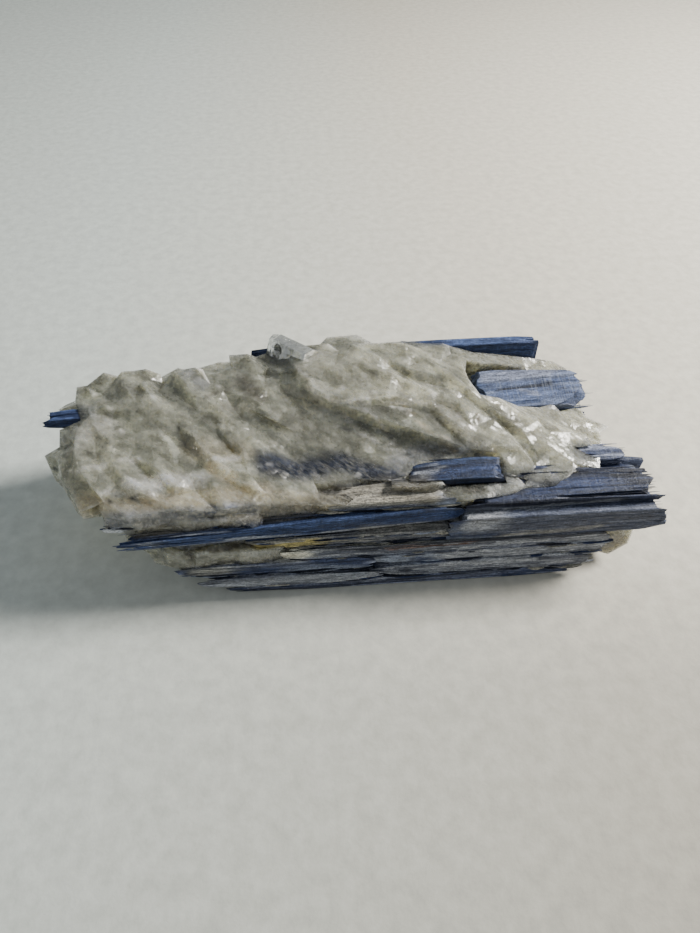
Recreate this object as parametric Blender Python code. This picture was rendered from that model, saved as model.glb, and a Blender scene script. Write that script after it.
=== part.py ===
"""Kyanite blade cluster: long blue kyanite blades grown side by side in a lump of grey quartz.

X runs along the blades, Y from the front to the back and Z up. The lump rests on a flat patch
of its quartz at Z = 0, and the origin is below the middle of its box.
Each blade is a solid of its own. It lies in a pocket of the quartz that clears it by GAP.
Lengths are in millimetres until add_object turns them into metres.
"""
import math
from collections import namedtuple

import bmesh
import bpy
import numpy as np
from mathutils import Vector

MM = 0.001
GAP = 0.3  # between a blade and the quartz or the next blade
POCKET_END = 0.8  # extra room past the ends of a blade that stay inside the quartz

FACE_STEP = 5.2  # distance between the edges along a blade's broad faces
EDGE_STEP = 2.6  # distance between the edges along its narrow faces
CORNER = 0.3  # how far a blade's outline is cut in at its corners, over half its thickness
FLUTE_DEPTH = 0.5  # how far the flutes along a blade cut into its faces
FLUTE_DEPTH_SHARE = 0.35  # and no more than this share of half its thickness
FLUTE_LENGTH = 27.0  # usual length of a flute before it steps
FLUTE_SCATTER = 4.0  # how far a step is from its even place
FLUTE_STEP = 0.9  # length of the step itself
FLUTES_THAT_STEP = 0.45  # share of the flutes that change at a step
END_RAGGED = 2.6  # how far the ends of a blade's laths differ
NOSE = 4.0  # length over which a blade's end narrows
NOSE_WIDTH = 0.4  # width kept at the start of the nose by a blade that ends in a point
END_CHAMFER = 0.2  # how far a blade's end is cut in, over half its thickness

CHIP = 0.7  # how far the corners of a quartz slab are knocked out of place
LEAN_HEIGHT = 20.0  # the height at which a section of the quartz lump has its own x

QUARTZ_GREY = (0.46, 0.45, 0.39, 1.0)
KYANITE_NAVY = (0.035, 0.075, 0.20, 1.0)
KYANITE_BLUE = (0.08, 0.15, 0.34, 1.0)
KYANITE_PALE = (0.30, 0.34, 0.42, 1.0)
KYANITE_GREY = (0.16, 0.19, 0.26, 1.0)

# A blade spans x, y and z before it is turned about its own middle by roll (about X), pitch (about Y)
# and yaw (about Z), in degrees. ends gives the width left at its left and right end, and bare how
# far its pocket goes on above it, where its top lies open.
Blade = namedtuple("Blade", "name colour x y z ends roll pitch yaw bare", defaults=(0, 0, 0, 0))

LOWER_BLADES = (
    Blade("bottom_blade", KYANITE_GREY, (-31, 52), (-24.9, -12), (0.6, 2.9), ends=(0.6, 0.7)),
    Blade("lens_blade", KYANITE_PALE, (-37, 4.5), (-25.3, -12), (3.2, 6.4), ends=(0.5, 0.8)),
    Blade("pale_lower_blade", KYANITE_PALE, (5.8, 56), (-24.8, -11), (3.2, 7.0), ends=(0.8, 0.6)),
    Blade("dark_lower_blade", KYANITE_BLUE, (-42, 2.5), (-24.4, -9), (6.8, 9.9), ends=(0.5, 0.8)),
    Blade("grey_lower_blade", KYANITE_GREY, (3.8, 58), (-24.2, -8), (7.4, 10.2), ends=(0.8, 0.6)),
    Blade("blunt_lower_blade", KYANITE_GREY, (-18, 58.5), (-23.9, -8), (10.6, 13.6), ends=(0.4, 0.85)),
)
FRONT_BLADES = (
    Blade("thin_middle_blade", KYANITE_GREY, (-24, 21.5), (-22.9, -9), (14.0, 16.3), ends=(0.5, 0.9)),
    Blade("long_front_blade", KYANITE_NAVY, (-54, 22.3), (-22.4, -8), (17.1, 20.6), pitch=-2.6, yaw=1.2,
          ends=(0.5, 0.8)),
    Blade("grey_front_blade", KYANITE_PALE, (-55, -22), (-20.6, -8), (20.4, 22.4), pitch=-3.0, yaw=1.2,
          ends=(0.6, 0.95)),
    Blade("pale_front_blade", KYANITE_PALE, (-7, 22.3), (-20.6, -14), (22.6, 24.6), pitch=-1.0,
          ends=(0.6, 0.95)),
    Blade("main_right_blade", KYANITE_GREY, (23.6, 70.5), (-23.8, -7), (14.0, 20.6), ends=(0.9, 0.8)),
    Blade("upper_right_front_blade", KYANITE_NAVY, (23.5, 69), (-21.6, -11.6), (21.5, 23.5), roll=7,
          ends=(0.8, 0.7)),
)
TOP_BLADES = (
    Blade("window_blade", KYANITE_NAVY, (10, 34.6), (-17.0, -10.4), (25.3, 27.3), roll=13,
          ends=(0.6, 0.8)),
    Blade("small_right_blade", KYANITE_BLUE, (50, 66), (-10.2, -4.6), (21.2, 23.2), roll=6,
          ends=(0.9, 0.5)),
    Blade("upper_back_blade", KYANITE_BLUE, (30, 63), (7.5, 20.5), (23.6, 26.6), roll=18, pitch=-1.0,
          yaw=2, ends=(0.9, 0.6), bare=7),
    Blade("back_rim_blade", KYANITE_NAVY, (-25, 51.5), (25.2, 28.2), (19.5, 30.6), ends=(0.8, 0.95)),
    Blade("small_left_blade", KYANITE_NAVY, (-73, -58), (8.6, 13.4), (24.4, 26.6), ends=(0.5, 0.8)),
)
BACK_BLADES = (
    Blade("lower_back_blade", KYANITE_GREY, (-34, 46), (18, 28.2), (3.0, 6.2), ends=(0.5, 0.7)),
    Blade("middle_back_blade", KYANITE_BLUE, (-48, 12), (17, 28.8), (9.4, 13.0), ends=(0.5, 0.7)),
    Blade("right_back_blade", KYANITE_NAVY, (17, 65), (15, 28.5), (11.2, 15.4), ends=(0.7, 0.5)),
    Blade("left_back_blade", KYANITE_PALE, (-63, -31), (16.5, 26.6), (17.2, 20.2), ends=(0.5, 0.8)),
)
BLADES = LOWER_BLADES + FRONT_BLADES + TOP_BLADES + BACK_BLADES

# A section of the quartz lump: where it crosses y = 0 at LEAN_HEIGHT, how far it leans along X for
# each millimetre up, how far its front is swept back, and its outline as (y, z) from the front foot,
# over the crest, to the back foot.
Section = namedtuple("Section", "x lean sweep outline")
SECTIONS = (
    Section(-66, -0.7, 0.60, ((-19, 5), (-20, 13), (-17, 20), (-9, 22), (-1, 23), (7, 24.5),
                              (13, 26), (18, 24), (21, 14), (18, 4))),
    Section(-58, -0.8, 0.45, ((-20, 0.5), (-21, 13), (-19.5, 23.5), (-11, 25), (-1, 26.5), (8, 27),
                              (17, 27.8), (23, 24), (25, 13), (22, 0.5))),
    Section(-45, -0.5, 0.25, ((-20, 0.5), (-21, 13), (-20, 25), (-11, 26), (-1, 26.8), (8, 28.2),
                              (18, 29), (24, 26), (27, 13), (23, 0.5))),
    Section(-32, -0.2, 0.10, ((-21, 0.5), (-21, 13), (-20, 25.5), (-12, 26), (-3, 26.5), (6, 29),
                              (19, 30.6), (25, 27), (27, 13), (23, 0.5))),
    Section(-18, 0.0, 0.0, ((-21, 0.5), (-21, 13), (-19.5, 25), (-12, 25.5), (-4, 26.5), (4, 30.5),
                            (19, 32), (25, 28), (27, 13), (23, 0.5))),
    Section(-4, 0.0, 0.0, ((-21, 0.5), (-21, 13), (-18, 23.5), (-13, 24.8), (-6, 27.2), (2, 31.5),
                           (19, 35), (25, 29), (27, 13), (23, 0.5))),
    Section(11, 0.0, 0.0, ((-21, 0.5), (-21, 13), (-18, 23.5), (-13, 24.8), (-6, 27), (1, 30.5),
                           (18, 34), (25, 29), (27, 13), (23, 0.5))),
    Section(25, 0.0, 0.0, ((-21, 0.5), (-21, 13), (-18, 23.5), (-13, 25), (-8, 26), (-1, 27.5),
                           (17, 31), (25, 29), (27, 13), (23, 0.5))),
    Section(39, 0.0, 0.0, ((-20, 0.5), (-21, 13), (-17, 22), (-12, 22.5), (-6, 23.5), (2, 25),
                           (14, 27.5), (25, 28), (27, 13), (23, 0.5))),
    Section(51, 0.0, 0.0, ((-19, 0.5), (-20, 13), (-15, 20.5), (-9, 21.0), (-4, 21.5), (3, 22),
                           (13, 23.5), (25, 26), (26, 13), (21, 0.5))),
    Section(59, 0.0, -0.1, ((-18, 2), (-19, 11), (-13, 17), (-8, 18), (-3, 18), (3, 19),
                            (11, 20), (18, 21), (21, 12), (17, 2))),
)
TOP_OF_OUTLINE = slice(2, 8)  # the points of a section's outline that lie on the top surface

# A plate of quartz lying over the rest: the corners of its top, and how far it reaches down.
PLATES = (
    ((-14, 21, 36), (-11, 9, 35), (-4.5, 2.5, 33.5), (8, 3.5, 33), (20, 4.5, 31.5), (27, -3, 29.5),
     (33, -13, 26.5), (42, -13, 25.5), (40, -6, 27), (33, 4, 30), (21, 13, 34), (9, 18, 36.5)),
    ((2, 20, 36.2), (12, 14, 35.8), (24, 10.5, 33.5), (34, 3.5, 30), (44, -7, 26.5), (50, -13, 24),
     (52, -9, 24), (40, 6, 29), (28, 14, 32.5), (14, 21, 36)),
    ((34, 7.5, 28), (45, 0, 25.5), (50, -10.5, 24), (57, -12, 22.5), (60, -5, 21.5), (60, 3, 21.5),
     (54, 7, 23.5), (42, 11, 26.5)),
)
PLATE_DEPTH = 7.0
PLATE_DRAFT = 0.9  # how far the foot of a plate stands out past its top

# The ridges of the top surface fan out: they run almost to the front on the left, and nearly along
# the blades on the right. Each stands on the surface with a steep front and a gentle back.
RIDGE_X = (-64, 57)
RIDGE_Y = (-12, 22)
RIDGE_SPACING = (7.0, 7.5)
RIDGE_SCATTER = 2.5
RIDGE_LOWEST = (-67, -17)  # x and y that no crest passes
RIDGE_HIGHEST = (57, 21)
RIDGE_LENGTH = (13.0, 24.0)
RIDGE_RISE = (0.9, 2.8)  # from the surface to its crest
RIDGE_BACK = (6.0, 10.5)  # width of its gentle back
RIDGE_FRONT = 0.8  # width of its steep front
RIDGE_BURIED = (1.5, 0.5, 5.0)  # how far its front, its back and its core reach below the surface
RIDGE_FALL = 0.28  # share of its rise that a ridge loses along its length
RIDGE_ANGLE = ((-64, 64), (-42, 52), (-15, 36), (10, 26), (58, 24))  # degrees from X, at given x
RIDGE_TURN = 7.0  # degrees that a ridge's own angle may differ
SMOOTH_FACE = ((6, -4.5), (28, 10))  # middle and reach of the smooth hollow face, free of ridges
PLATE_CLEAR = ((10, 10), (20, 9))  # the top of the highest plate keeps only its own facets

# A chunk of quartz: centre, reach along X, Y and Z, and turn about Z in degrees.
Chunk = namedtuple("Chunk", "centre reach turn")
CHUNKS = (
    Chunk((-37, 15, 31), (5, 5, 3.5), 20),
    Chunk((-25, 21.5, 31), (4, 4, 3.5), 50),
    Chunk((-23, 13, 30), (5, 5, 3.5), -30),
    Chunk((-63, 17, 26), (4, 5, 3), 10),
    Chunk((-66, 9, 20), (5, 5, 4), 40),
    Chunk((-67.5, 1, 20), (4.5, 5, 5), 0),
    Chunk((-60, -9, 18), (5, 4, 5), -45),
    Chunk((55, 9, 19), (5, 6, 4), 15),
    Chunk((57, -4, 17), (4, 5, 4), 40),
    Chunk((46, 23, 23), (6, 4, 5), -15),
    Chunk((-34, 25, 23), (7, 4, 5), 10),
    Chunk((-52, 21, 12), (6, 5, 5), 25),
    Chunk((8, 24, 16.2), (9, 4.5, 2.4), -10),
    Chunk((34, 25, 7), (9, 3.5, 5), 12),
    Chunk((56, 16, 7), (6, 6, 5), 30),
)

CHUNK_CORNERS = 14

# The wedge of brown quartz under the right ends of the blades.
END_WEDGE = ((56, -20, 1.6), (61, -21, 2), (65, -20.5, 6), (66, -19, 12), (58, -21, 12.4), (63, 2, 2),
             (65.5, 1, 12.2), (52, 4, 12.6), (52, 4, 1.6))

# The flat patch that the lump rests on, which stands a little below the rest of its underside.
FOOT = ((-36, -11.3), (46, -11.3), (48, 17.4), (-34, 17.4))
FOOT_TOP = 2.4

# The clear quartz crystal that sticks up out of the crest towards the back and the left.
FINGER_ROOT = (-7, 17, 33)
FINGER_TIP = (-18, 29, 31.8)
FINGER_RADIUS = 3.3
FINGER_POINT = 2.0  # length of its point
FINGER_BLUNT = 0.45  # radius left at the tip, over its own


def clear_scene():
    for obj in list(bpy.data.objects):
        bpy.data.objects.remove(obj, do_unlink=True)


def material(name, colour, roughness, transmission=0.0):
    made = bpy.data.materials.new(name)
    made.use_nodes = True
    shader = made.node_tree.nodes["Principled BSDF"]
    shader.inputs["Base Color"].default_value = colour
    shader.inputs["Roughness"].default_value = roughness
    shader.inputs["Metallic"].default_value = 0.0
    shader.inputs["Transmission Weight"].default_value = transmission
    return made


def add_object(name, points, faces, collection=None):
    """A mesh object from points in millimetres. Without faces it is the hull of the points."""
    mesh = bpy.data.meshes.new(name)
    shape = bmesh.new()
    corners = [shape.verts.new(Vector(point) * MM) for point in points]
    if faces is None:
        hull = bmesh.ops.convex_hull(shape, input=corners)
        inside = {item for item in hull["geom_interior"] if isinstance(item, bmesh.types.BMVert)}
        bmesh.ops.delete(shape, geom=list(inside), context="VERTS")
    else:
        for face in faces:
            shape.faces.new([corners[index] for index in face])
    bmesh.ops.recalc_face_normals(shape, faces=shape.faces)
    if shape.calc_volume(signed=True) < 0:
        bmesh.ops.reverse_faces(shape, faces=shape.faces)
    shape.to_mesh(mesh)
    shape.free()
    obj = bpy.data.objects.new(name, mesh)
    (collection or bpy.context.scene.collection).objects.link(obj)
    return obj


def add_helper(name, points, collection):
    """A hull that only cuts or adds to the quartz, and doesn't show."""
    obj = add_object(name, points, None, collection)
    obj.hide_render = True
    obj.display_type = "WIRE"
    return obj


def new_collection(name):
    made = bpy.data.collections.new(name)
    bpy.context.scene.collection.children.link(made)
    return made


def ring_faces(rings, count):
    """Faces between rings of count points each, with a point closing each end."""
    faces = []
    for ring in range(rings - 1):
        for k in range(count):
            after = (k + 1) % count
            a, b = ring * count + k, ring * count + after
            faces.append((a, b, b + count, a + count))
    first, last = rings * count, rings * count + 1
    for k in range(count):
        after = (k + 1) % count
        faces.append((first, after, k))
        faces.append((last, (rings - 1) * count + k, (rings - 1) * count + after))
    return faces


def rotation(roll, pitch, yaw):
    """The matrix that turns row vectors about X, then Y, then Z, by degrees."""
    a, b, c = (math.radians(angle) for angle in (roll, pitch, yaw))
    about_x = np.array(((1, 0, 0), (0, math.cos(a), -math.sin(a)), (0, math.sin(a), math.cos(a))))
    about_y = np.array(((math.cos(b), 0, math.sin(b)), (0, 1, 0), (-math.sin(b), 0, math.cos(b))))
    about_z = np.array(((math.cos(c), -math.sin(c), 0), (math.sin(c), math.cos(c), 0), (0, 0, 1)))
    return (about_z @ about_y @ about_x).T


def blade_box(blade):
    """The middle of a blade's box and half its size each way."""
    spans = np.array((blade.x, blade.y, blade.z), float)
    return spans.mean(axis=1), (spans[:, 1] - spans[:, 0]) / 2


def blade_section(half_width, half_height):
    """The outline of a blade across its length as (y, z), and which way is inwards at each point."""
    corner = CORNER * min(half_width, half_height)
    across = np.linspace(corner - half_width, half_width - corner, 2 + round(2 * half_width / FACE_STEP))
    up = np.linspace(corner - half_height, half_height - corner, 2 + int(2 * half_height / EDGE_STEP))
    front = [(-half_width, z, 1, 0) for z in up]
    top = [(y, half_height, 0, -1) for y in across]
    back = [(half_width, z, -1, 0) for z in up[::-1]]
    bottom = [(y, -half_height, 0, 1) for y in across[::-1]]
    rows = np.array(front + top + back + bottom)
    return rows[:, :2], rows[:, 2:]


def blade_points(blade, seed):
    """Rings of points along a blade: flutes that step along its faces, and ragged ends."""
    rng = np.random.default_rng(seed)
    middle, half = blade_box(blade)
    outline, inward = blade_section(half[1], half[2])
    count = len(outline)
    deepest = min(FLUTE_DEPTH, FLUTE_DEPTH_SHARE * half[2], FLUTE_DEPTH_SHARE * half[1])
    steps = max(1, round(2 * half[0] / FLUTE_LENGTH))
    breaks = np.linspace(-half[0], half[0], steps + 1)[1:-1]
    breaks += rng.uniform(-FLUTE_SCATTER, FLUTE_SCATTER, steps - 1)
    depth = rng.uniform(0, deepest, count)
    lag = rng.uniform(0, END_RAGGED, (2, count))
    nose = min(NOSE, half[0] / 5)
    nose_widths = NOSE_WIDTH + (1 - NOSE_WIDTH) * np.array(blade.ends)
    end_chamfer = END_CHAMFER * half[2]
    rings = []

    def add_ring(x, width_left, chamfer):
        section = outline + inward * (depth + chamfer)[:, None]
        section[:, 0] = -half[1] + (section[:, 0] + half[1]) * width_left
        rings.append(np.column_stack([np.broadcast_to(x, count), section]))

    add_ring(-half[0] + lag[0], blade.ends[0], end_chamfer)
    add_ring(-half[0] + nose + lag[0], nose_widths[0], 0.0)
    for x in breaks:
        add_ring(x, 1.0, 0.0)
        depth = np.where(rng.random(count) < FLUTES_THAT_STEP, rng.uniform(0, deepest, count), depth)
        add_ring(x + FLUTE_STEP, 1.0, 0.0)
    add_ring(half[0] - nose - lag[1], nose_widths[1], 0.0)
    add_ring(half[0] - lag[1], blade.ends[1], end_chamfer)
    tips = [rings[0].mean(axis=0), rings[-1].mean(axis=0)]
    tips[0][0], tips[1][0] = -half[0], half[0]
    points = np.concatenate(rings + [tips])
    return points @ rotation(blade.roll, blade.pitch, blade.yaw) + middle, len(rings), count


def add_blade(blade, seed, pockets):
    points, rings, count = blade_points(blade, seed)
    obj = add_object(blade.name, points, ring_faces(rings, count))
    obj.data.materials.append(material(blade.name, blade.colour, 0.35))
    middle, half = blade_box(blade)
    signs = np.array([(a, b, c) for a in (-1, 1) for b in (-1, 1) for c in (-1, 1)])
    box = signs * (half + (POCKET_END, GAP, GAP))
    box[signs[:, 2] > 0, 2] += blade.bare
    add_helper("pocket_" + blade.name, box @ rotation(blade.roll, blade.pitch, blade.yaw) + middle, pockets)


def section_points(section):
    """The outline of a section, leant and swept back into place."""
    return [(section.x + section.lean * (z - LEAN_HEIGHT) + section.sweep * max(0.0, -y), y, z)
            for y, z in section.outline]


def surface_height(x, y):
    """The height of the quartz lump's top surface, before ridges and plates."""
    heights, places = [], []
    for section in SECTIONS:
        outline = np.array(section.outline)[TOP_OF_OUTLINE]
        heights.append(np.interp(y, outline[:, 0], outline[:, 1]))
        places.append(section.x)
    return np.interp(x, places, heights)


def add_lump():
    """The quartz lump from section to section, without its ridges, plates and chunks."""
    points = [point for section in SECTIONS for point in section_points(section)]
    for end in (SECTIONS[0], SECTIONS[-1]):
        points.append(tuple(np.mean(section_points(end), axis=0)))
    return add_object("quartz_matrix", points, ring_faces(len(SECTIONS), len(SECTIONS[0].outline)))


def add_plate(number, top, lumps):
    """A plate of quartz under the corners of its top, which are chipped."""
    rng = np.random.default_rng(100 + number)
    top = np.array(top, float)
    outward = top - top.mean(axis=0)
    outward[:, 2] = 0
    outward /= np.linalg.norm(outward, axis=1)[:, None]
    foot = top + outward * PLATE_DRAFT - (0, 0, PLATE_DEPTH)
    points = np.concatenate([top, foot])
    add_helper(f"plate_{number}", points + rng.uniform(-CHIP, CHIP, points.shape), lumps)


def add_ridge(number, middle, angle, length, rise, back, rng, lumps):
    """A wedge of quartz that stands on the top surface, steep at its front and gentle at its back."""
    along = np.array((math.cos(angle), -math.sin(angle), 0))
    front = np.array((-math.sin(angle), -math.cos(angle), 0))
    down = np.array((0, 0, -1.0))
    front_depth, back_depth, core_depth = RIDGE_BURIED
    points = []
    for share in (-0.5, 0.1, 0.5):
        crest = middle + along * length * share
        crest[:2] = np.clip(crest[:2], RIDGE_LOWEST, RIDGE_HIGHEST)
        crest[2] = surface_height(crest[0], crest[1]) + rise * (1.0 - RIDGE_FALL * share)
        points.append(crest)
        points.append(crest + front * RIDGE_FRONT + down * (rise + front_depth))
        points.append(crest - front * back + down * (rise + back_depth))
        points.append(crest - front * 0.4 * back + down * core_depth)
    points = np.array(points) + rng.uniform(-CHIP, CHIP, (len(points), 3))
    add_helper(f"ridge_{number}", points, lumps)


def inside(oval, x, y):
    (middle_x, middle_y), (reach_x, reach_y) = oval
    return ((x - middle_x) / reach_x) ** 2 + ((y - middle_y) / reach_y) ** 2 < 1


def add_ridges(lumps):
    """Ridges over the top surface in rough rows, apart from the smooth places."""
    rng = np.random.default_rng(7)
    number = 0
    for x in np.arange(*RIDGE_X, RIDGE_SPACING[0]):
        for y in np.arange(*RIDGE_Y, RIDGE_SPACING[1]):
            middle = np.array((x, y, 0)) + rng.uniform(-RIDGE_SCATTER, RIDGE_SCATTER, 3)
            length = rng.uniform(*RIDGE_LENGTH)
            rise = rng.uniform(*RIDGE_RISE)
            back = rng.uniform(*RIDGE_BACK)
            if inside(SMOOTH_FACE, x, y) or inside(PLATE_CLEAR, x, y):
                continue
            angle = math.radians(np.interp(x, *zip(*RIDGE_ANGLE)) + rng.uniform(-RIDGE_TURN, RIDGE_TURN))
            add_ridge(number, middle, angle, length, rise, back, rng, lumps)
            number += 1


def add_chunk(number, chunk, lumps):
    """A lump with flat sides: the hull of a few points spread over an egg shape."""
    rng = np.random.default_rng(300 + number)
    directions = rng.normal(size=(CHUNK_CORNERS, 3))
    directions /= np.linalg.norm(directions, axis=1)[:, None]
    points = (directions * chunk.reach) @ rotation(0, 0, chunk.turn) + chunk.centre
    add_helper(f"chunk_{number}", points, lumps)


def add_finger(lumps):
    """A six-sided crystal with a low point, from its root in the crest to its tip."""
    root, tip = np.array(FINGER_ROOT, float), np.array(FINGER_TIP, float)
    along = (tip - root) / np.linalg.norm(tip - root)
    side = np.cross(along, (0, 0, 1))
    side /= np.linalg.norm(side)
    up = np.cross(side, along)
    points = []
    for k in range(6):
        angle = math.radians(60 * k + 15)
        spoke = FINGER_RADIUS * (math.cos(angle) * side + 0.8 * math.sin(angle) * up)
        points.append(root + spoke)
        points.append(tip - FINGER_POINT * along + spoke)
        points.append(tip + FINGER_BLUNT * spoke)
    add_helper("finger", points, lumps)


def add_end_wedge(lumps):
    points = np.array(END_WEDGE, float)
    points += np.random.default_rng(5).uniform(-CHIP, CHIP, points.shape)
    add_helper("end_wedge", points, lumps)


def add_foot(lumps):
    points = [(x, y, z) for x, y in FOOT for z in (0.0, FOOT_TOP)]
    add_helper("foot", points, lumps)


def add_boolean(obj, operation, other):
    """A Boolean of obj with another object, or with all of a collection."""
    boolean = obj.modifiers.new(operation.lower(), "BOOLEAN")
    boolean.operation = operation
    boolean.solver = "EXACT"
    if isinstance(other, bpy.types.Collection):
        boolean.operand_type = "COLLECTION"
        boolean.collection = other
    else:
        boolean.object = other


def add_cutter(pockets):
    """All that the quartz is cut by: the blades' pockets, and what reaches below its foot."""
    corners = [(x, y, z) for x in (-100, 100) for y in (-60, 60) for z in (-30, 0)]
    cutter = add_helper("cutter", corners, bpy.context.scene.collection)
    add_boolean(cutter, "UNION", pockets)
    return cutter


def add_quartz(lumps, cutter):
    lump = add_lump()
    add_boolean(lump, "UNION", lumps)
    add_boolean(lump, "DIFFERENCE", cutter)
    lump.data.materials.append(material("quartz_matrix", QUARTZ_GREY, 0.2, 0.5))


def stand_on_origin(root):
    """Hangs everything on the root, and moves it so that the middle of the box's foot is the origin."""
    graph = bpy.context.evaluated_depsgraph_get()
    corners = []
    for obj in bpy.data.objects:
        if obj.type == "MESH":
            obj.parent = root
            if not obj.hide_render:
                corners += [Vector(corner) for corner in obj.evaluated_get(graph).bound_box]
    middle = (np.min(corners, axis=0) + np.max(corners, axis=0)) / 2
    root.location = (-middle[0], -middle[1], 0)


def main():
    clear_scene()
    root = bpy.data.objects.new("kyanite_blade_cluster", None)
    bpy.context.scene.collection.objects.link(root)
    lumps = new_collection("lumps")
    pockets = new_collection("pockets")
    for seed, blade in enumerate(BLADES):
        add_blade(blade, seed, pockets)
    for number, top in enumerate(PLATES):
        add_plate(number, top, lumps)
    add_ridges(lumps)
    for number, chunk in enumerate(CHUNKS):
        add_chunk(number, chunk, lumps)
    add_finger(lumps)
    add_end_wedge(lumps)
    add_foot(lumps)
    add_quartz(lumps, add_cutter(pockets))
    stand_on_origin(root)


main()
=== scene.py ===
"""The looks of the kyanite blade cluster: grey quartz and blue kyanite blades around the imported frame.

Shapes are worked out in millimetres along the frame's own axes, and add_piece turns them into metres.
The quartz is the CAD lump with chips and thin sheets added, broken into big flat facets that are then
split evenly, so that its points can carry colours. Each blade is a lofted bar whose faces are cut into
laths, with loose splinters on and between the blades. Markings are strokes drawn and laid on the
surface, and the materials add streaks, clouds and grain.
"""
import math
from collections import namedtuple

import bpy
import numpy as np
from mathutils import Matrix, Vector
from mathutils.bvhtree import BVHTree


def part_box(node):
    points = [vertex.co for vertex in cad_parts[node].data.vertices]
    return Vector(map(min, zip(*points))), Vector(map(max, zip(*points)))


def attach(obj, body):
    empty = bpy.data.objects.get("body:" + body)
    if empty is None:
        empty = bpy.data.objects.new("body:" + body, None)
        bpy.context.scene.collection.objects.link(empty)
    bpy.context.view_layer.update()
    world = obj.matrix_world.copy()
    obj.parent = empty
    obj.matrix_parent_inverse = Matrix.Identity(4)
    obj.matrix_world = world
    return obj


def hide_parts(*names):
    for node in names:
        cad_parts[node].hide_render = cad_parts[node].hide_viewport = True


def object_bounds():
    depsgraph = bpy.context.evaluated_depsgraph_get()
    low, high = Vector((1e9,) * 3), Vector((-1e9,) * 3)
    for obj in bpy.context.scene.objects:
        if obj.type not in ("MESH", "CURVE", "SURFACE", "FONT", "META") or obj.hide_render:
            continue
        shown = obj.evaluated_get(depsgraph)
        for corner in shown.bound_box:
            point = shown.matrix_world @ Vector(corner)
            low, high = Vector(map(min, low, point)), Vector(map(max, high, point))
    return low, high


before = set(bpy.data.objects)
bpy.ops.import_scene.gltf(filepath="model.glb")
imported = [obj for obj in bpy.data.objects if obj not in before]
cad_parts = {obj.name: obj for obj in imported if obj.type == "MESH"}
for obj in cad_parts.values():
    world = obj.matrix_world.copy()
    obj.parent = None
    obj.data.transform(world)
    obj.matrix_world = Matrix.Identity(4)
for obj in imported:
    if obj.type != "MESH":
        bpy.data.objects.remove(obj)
cad_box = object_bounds()

MM = 0.001

# The camera: where it looks, from how far, how steeply, and how far it turns off the blades' square view.
CAMERA_TARGET = (0.00125, -0.00237, 0.015)
CAMERA_DISTANCE = 0.171
CAMERA_ELEVATION = 46.0
CAMERA_HEADING = 4.4
CAMERA_LENS = 27.05
SENSOR = 36.0
PHOTO_SIZE = (700, 933)

# Colours of kyanite, from deep navy to its cream edges, and of quartz.
INK = (0.006, 0.008, 0.016)
NAVY = (0.016, 0.025, 0.062)
BLUE = (0.034, 0.053, 0.118)
SLATE = (0.062, 0.069, 0.093)
LILAC = (0.125, 0.138, 0.185)
PALE = (0.215, 0.225, 0.245)
CREAM = (0.42, 0.38, 0.29)
OLIVE = (0.26, 0.215, 0.075)
BROWN = (0.12, 0.055, 0.025)
# painted shade on the quartz: its valleys, shaded facets, dimples, ridges and groove, and in part its
# hollow
QUARTZ_SHADE = (0.185, 0.19, 0.152)
QUARTZ_GREY = (0.33, 0.338, 0.275)
QUARTZ_BEIGE = (0.55, 0.54, 0.445)
QUARTZ_WHITE = (0.80, 0.78, 0.72)
QUARTZ_CREAM = (0.66, 0.58, 0.42)
QUARTZ_BLUE = (0.018, 0.028, 0.065)
QUARTZ_VIOLET = (0.26, 0.27, 0.30)
SMOKE = (0.14, 0.13, 0.105)
DUST = (0.19, 0.185, 0.16)
STEEL = (0.140, 0.160, 0.205)
HAZE = (0.235, 0.245, 0.260)

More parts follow.
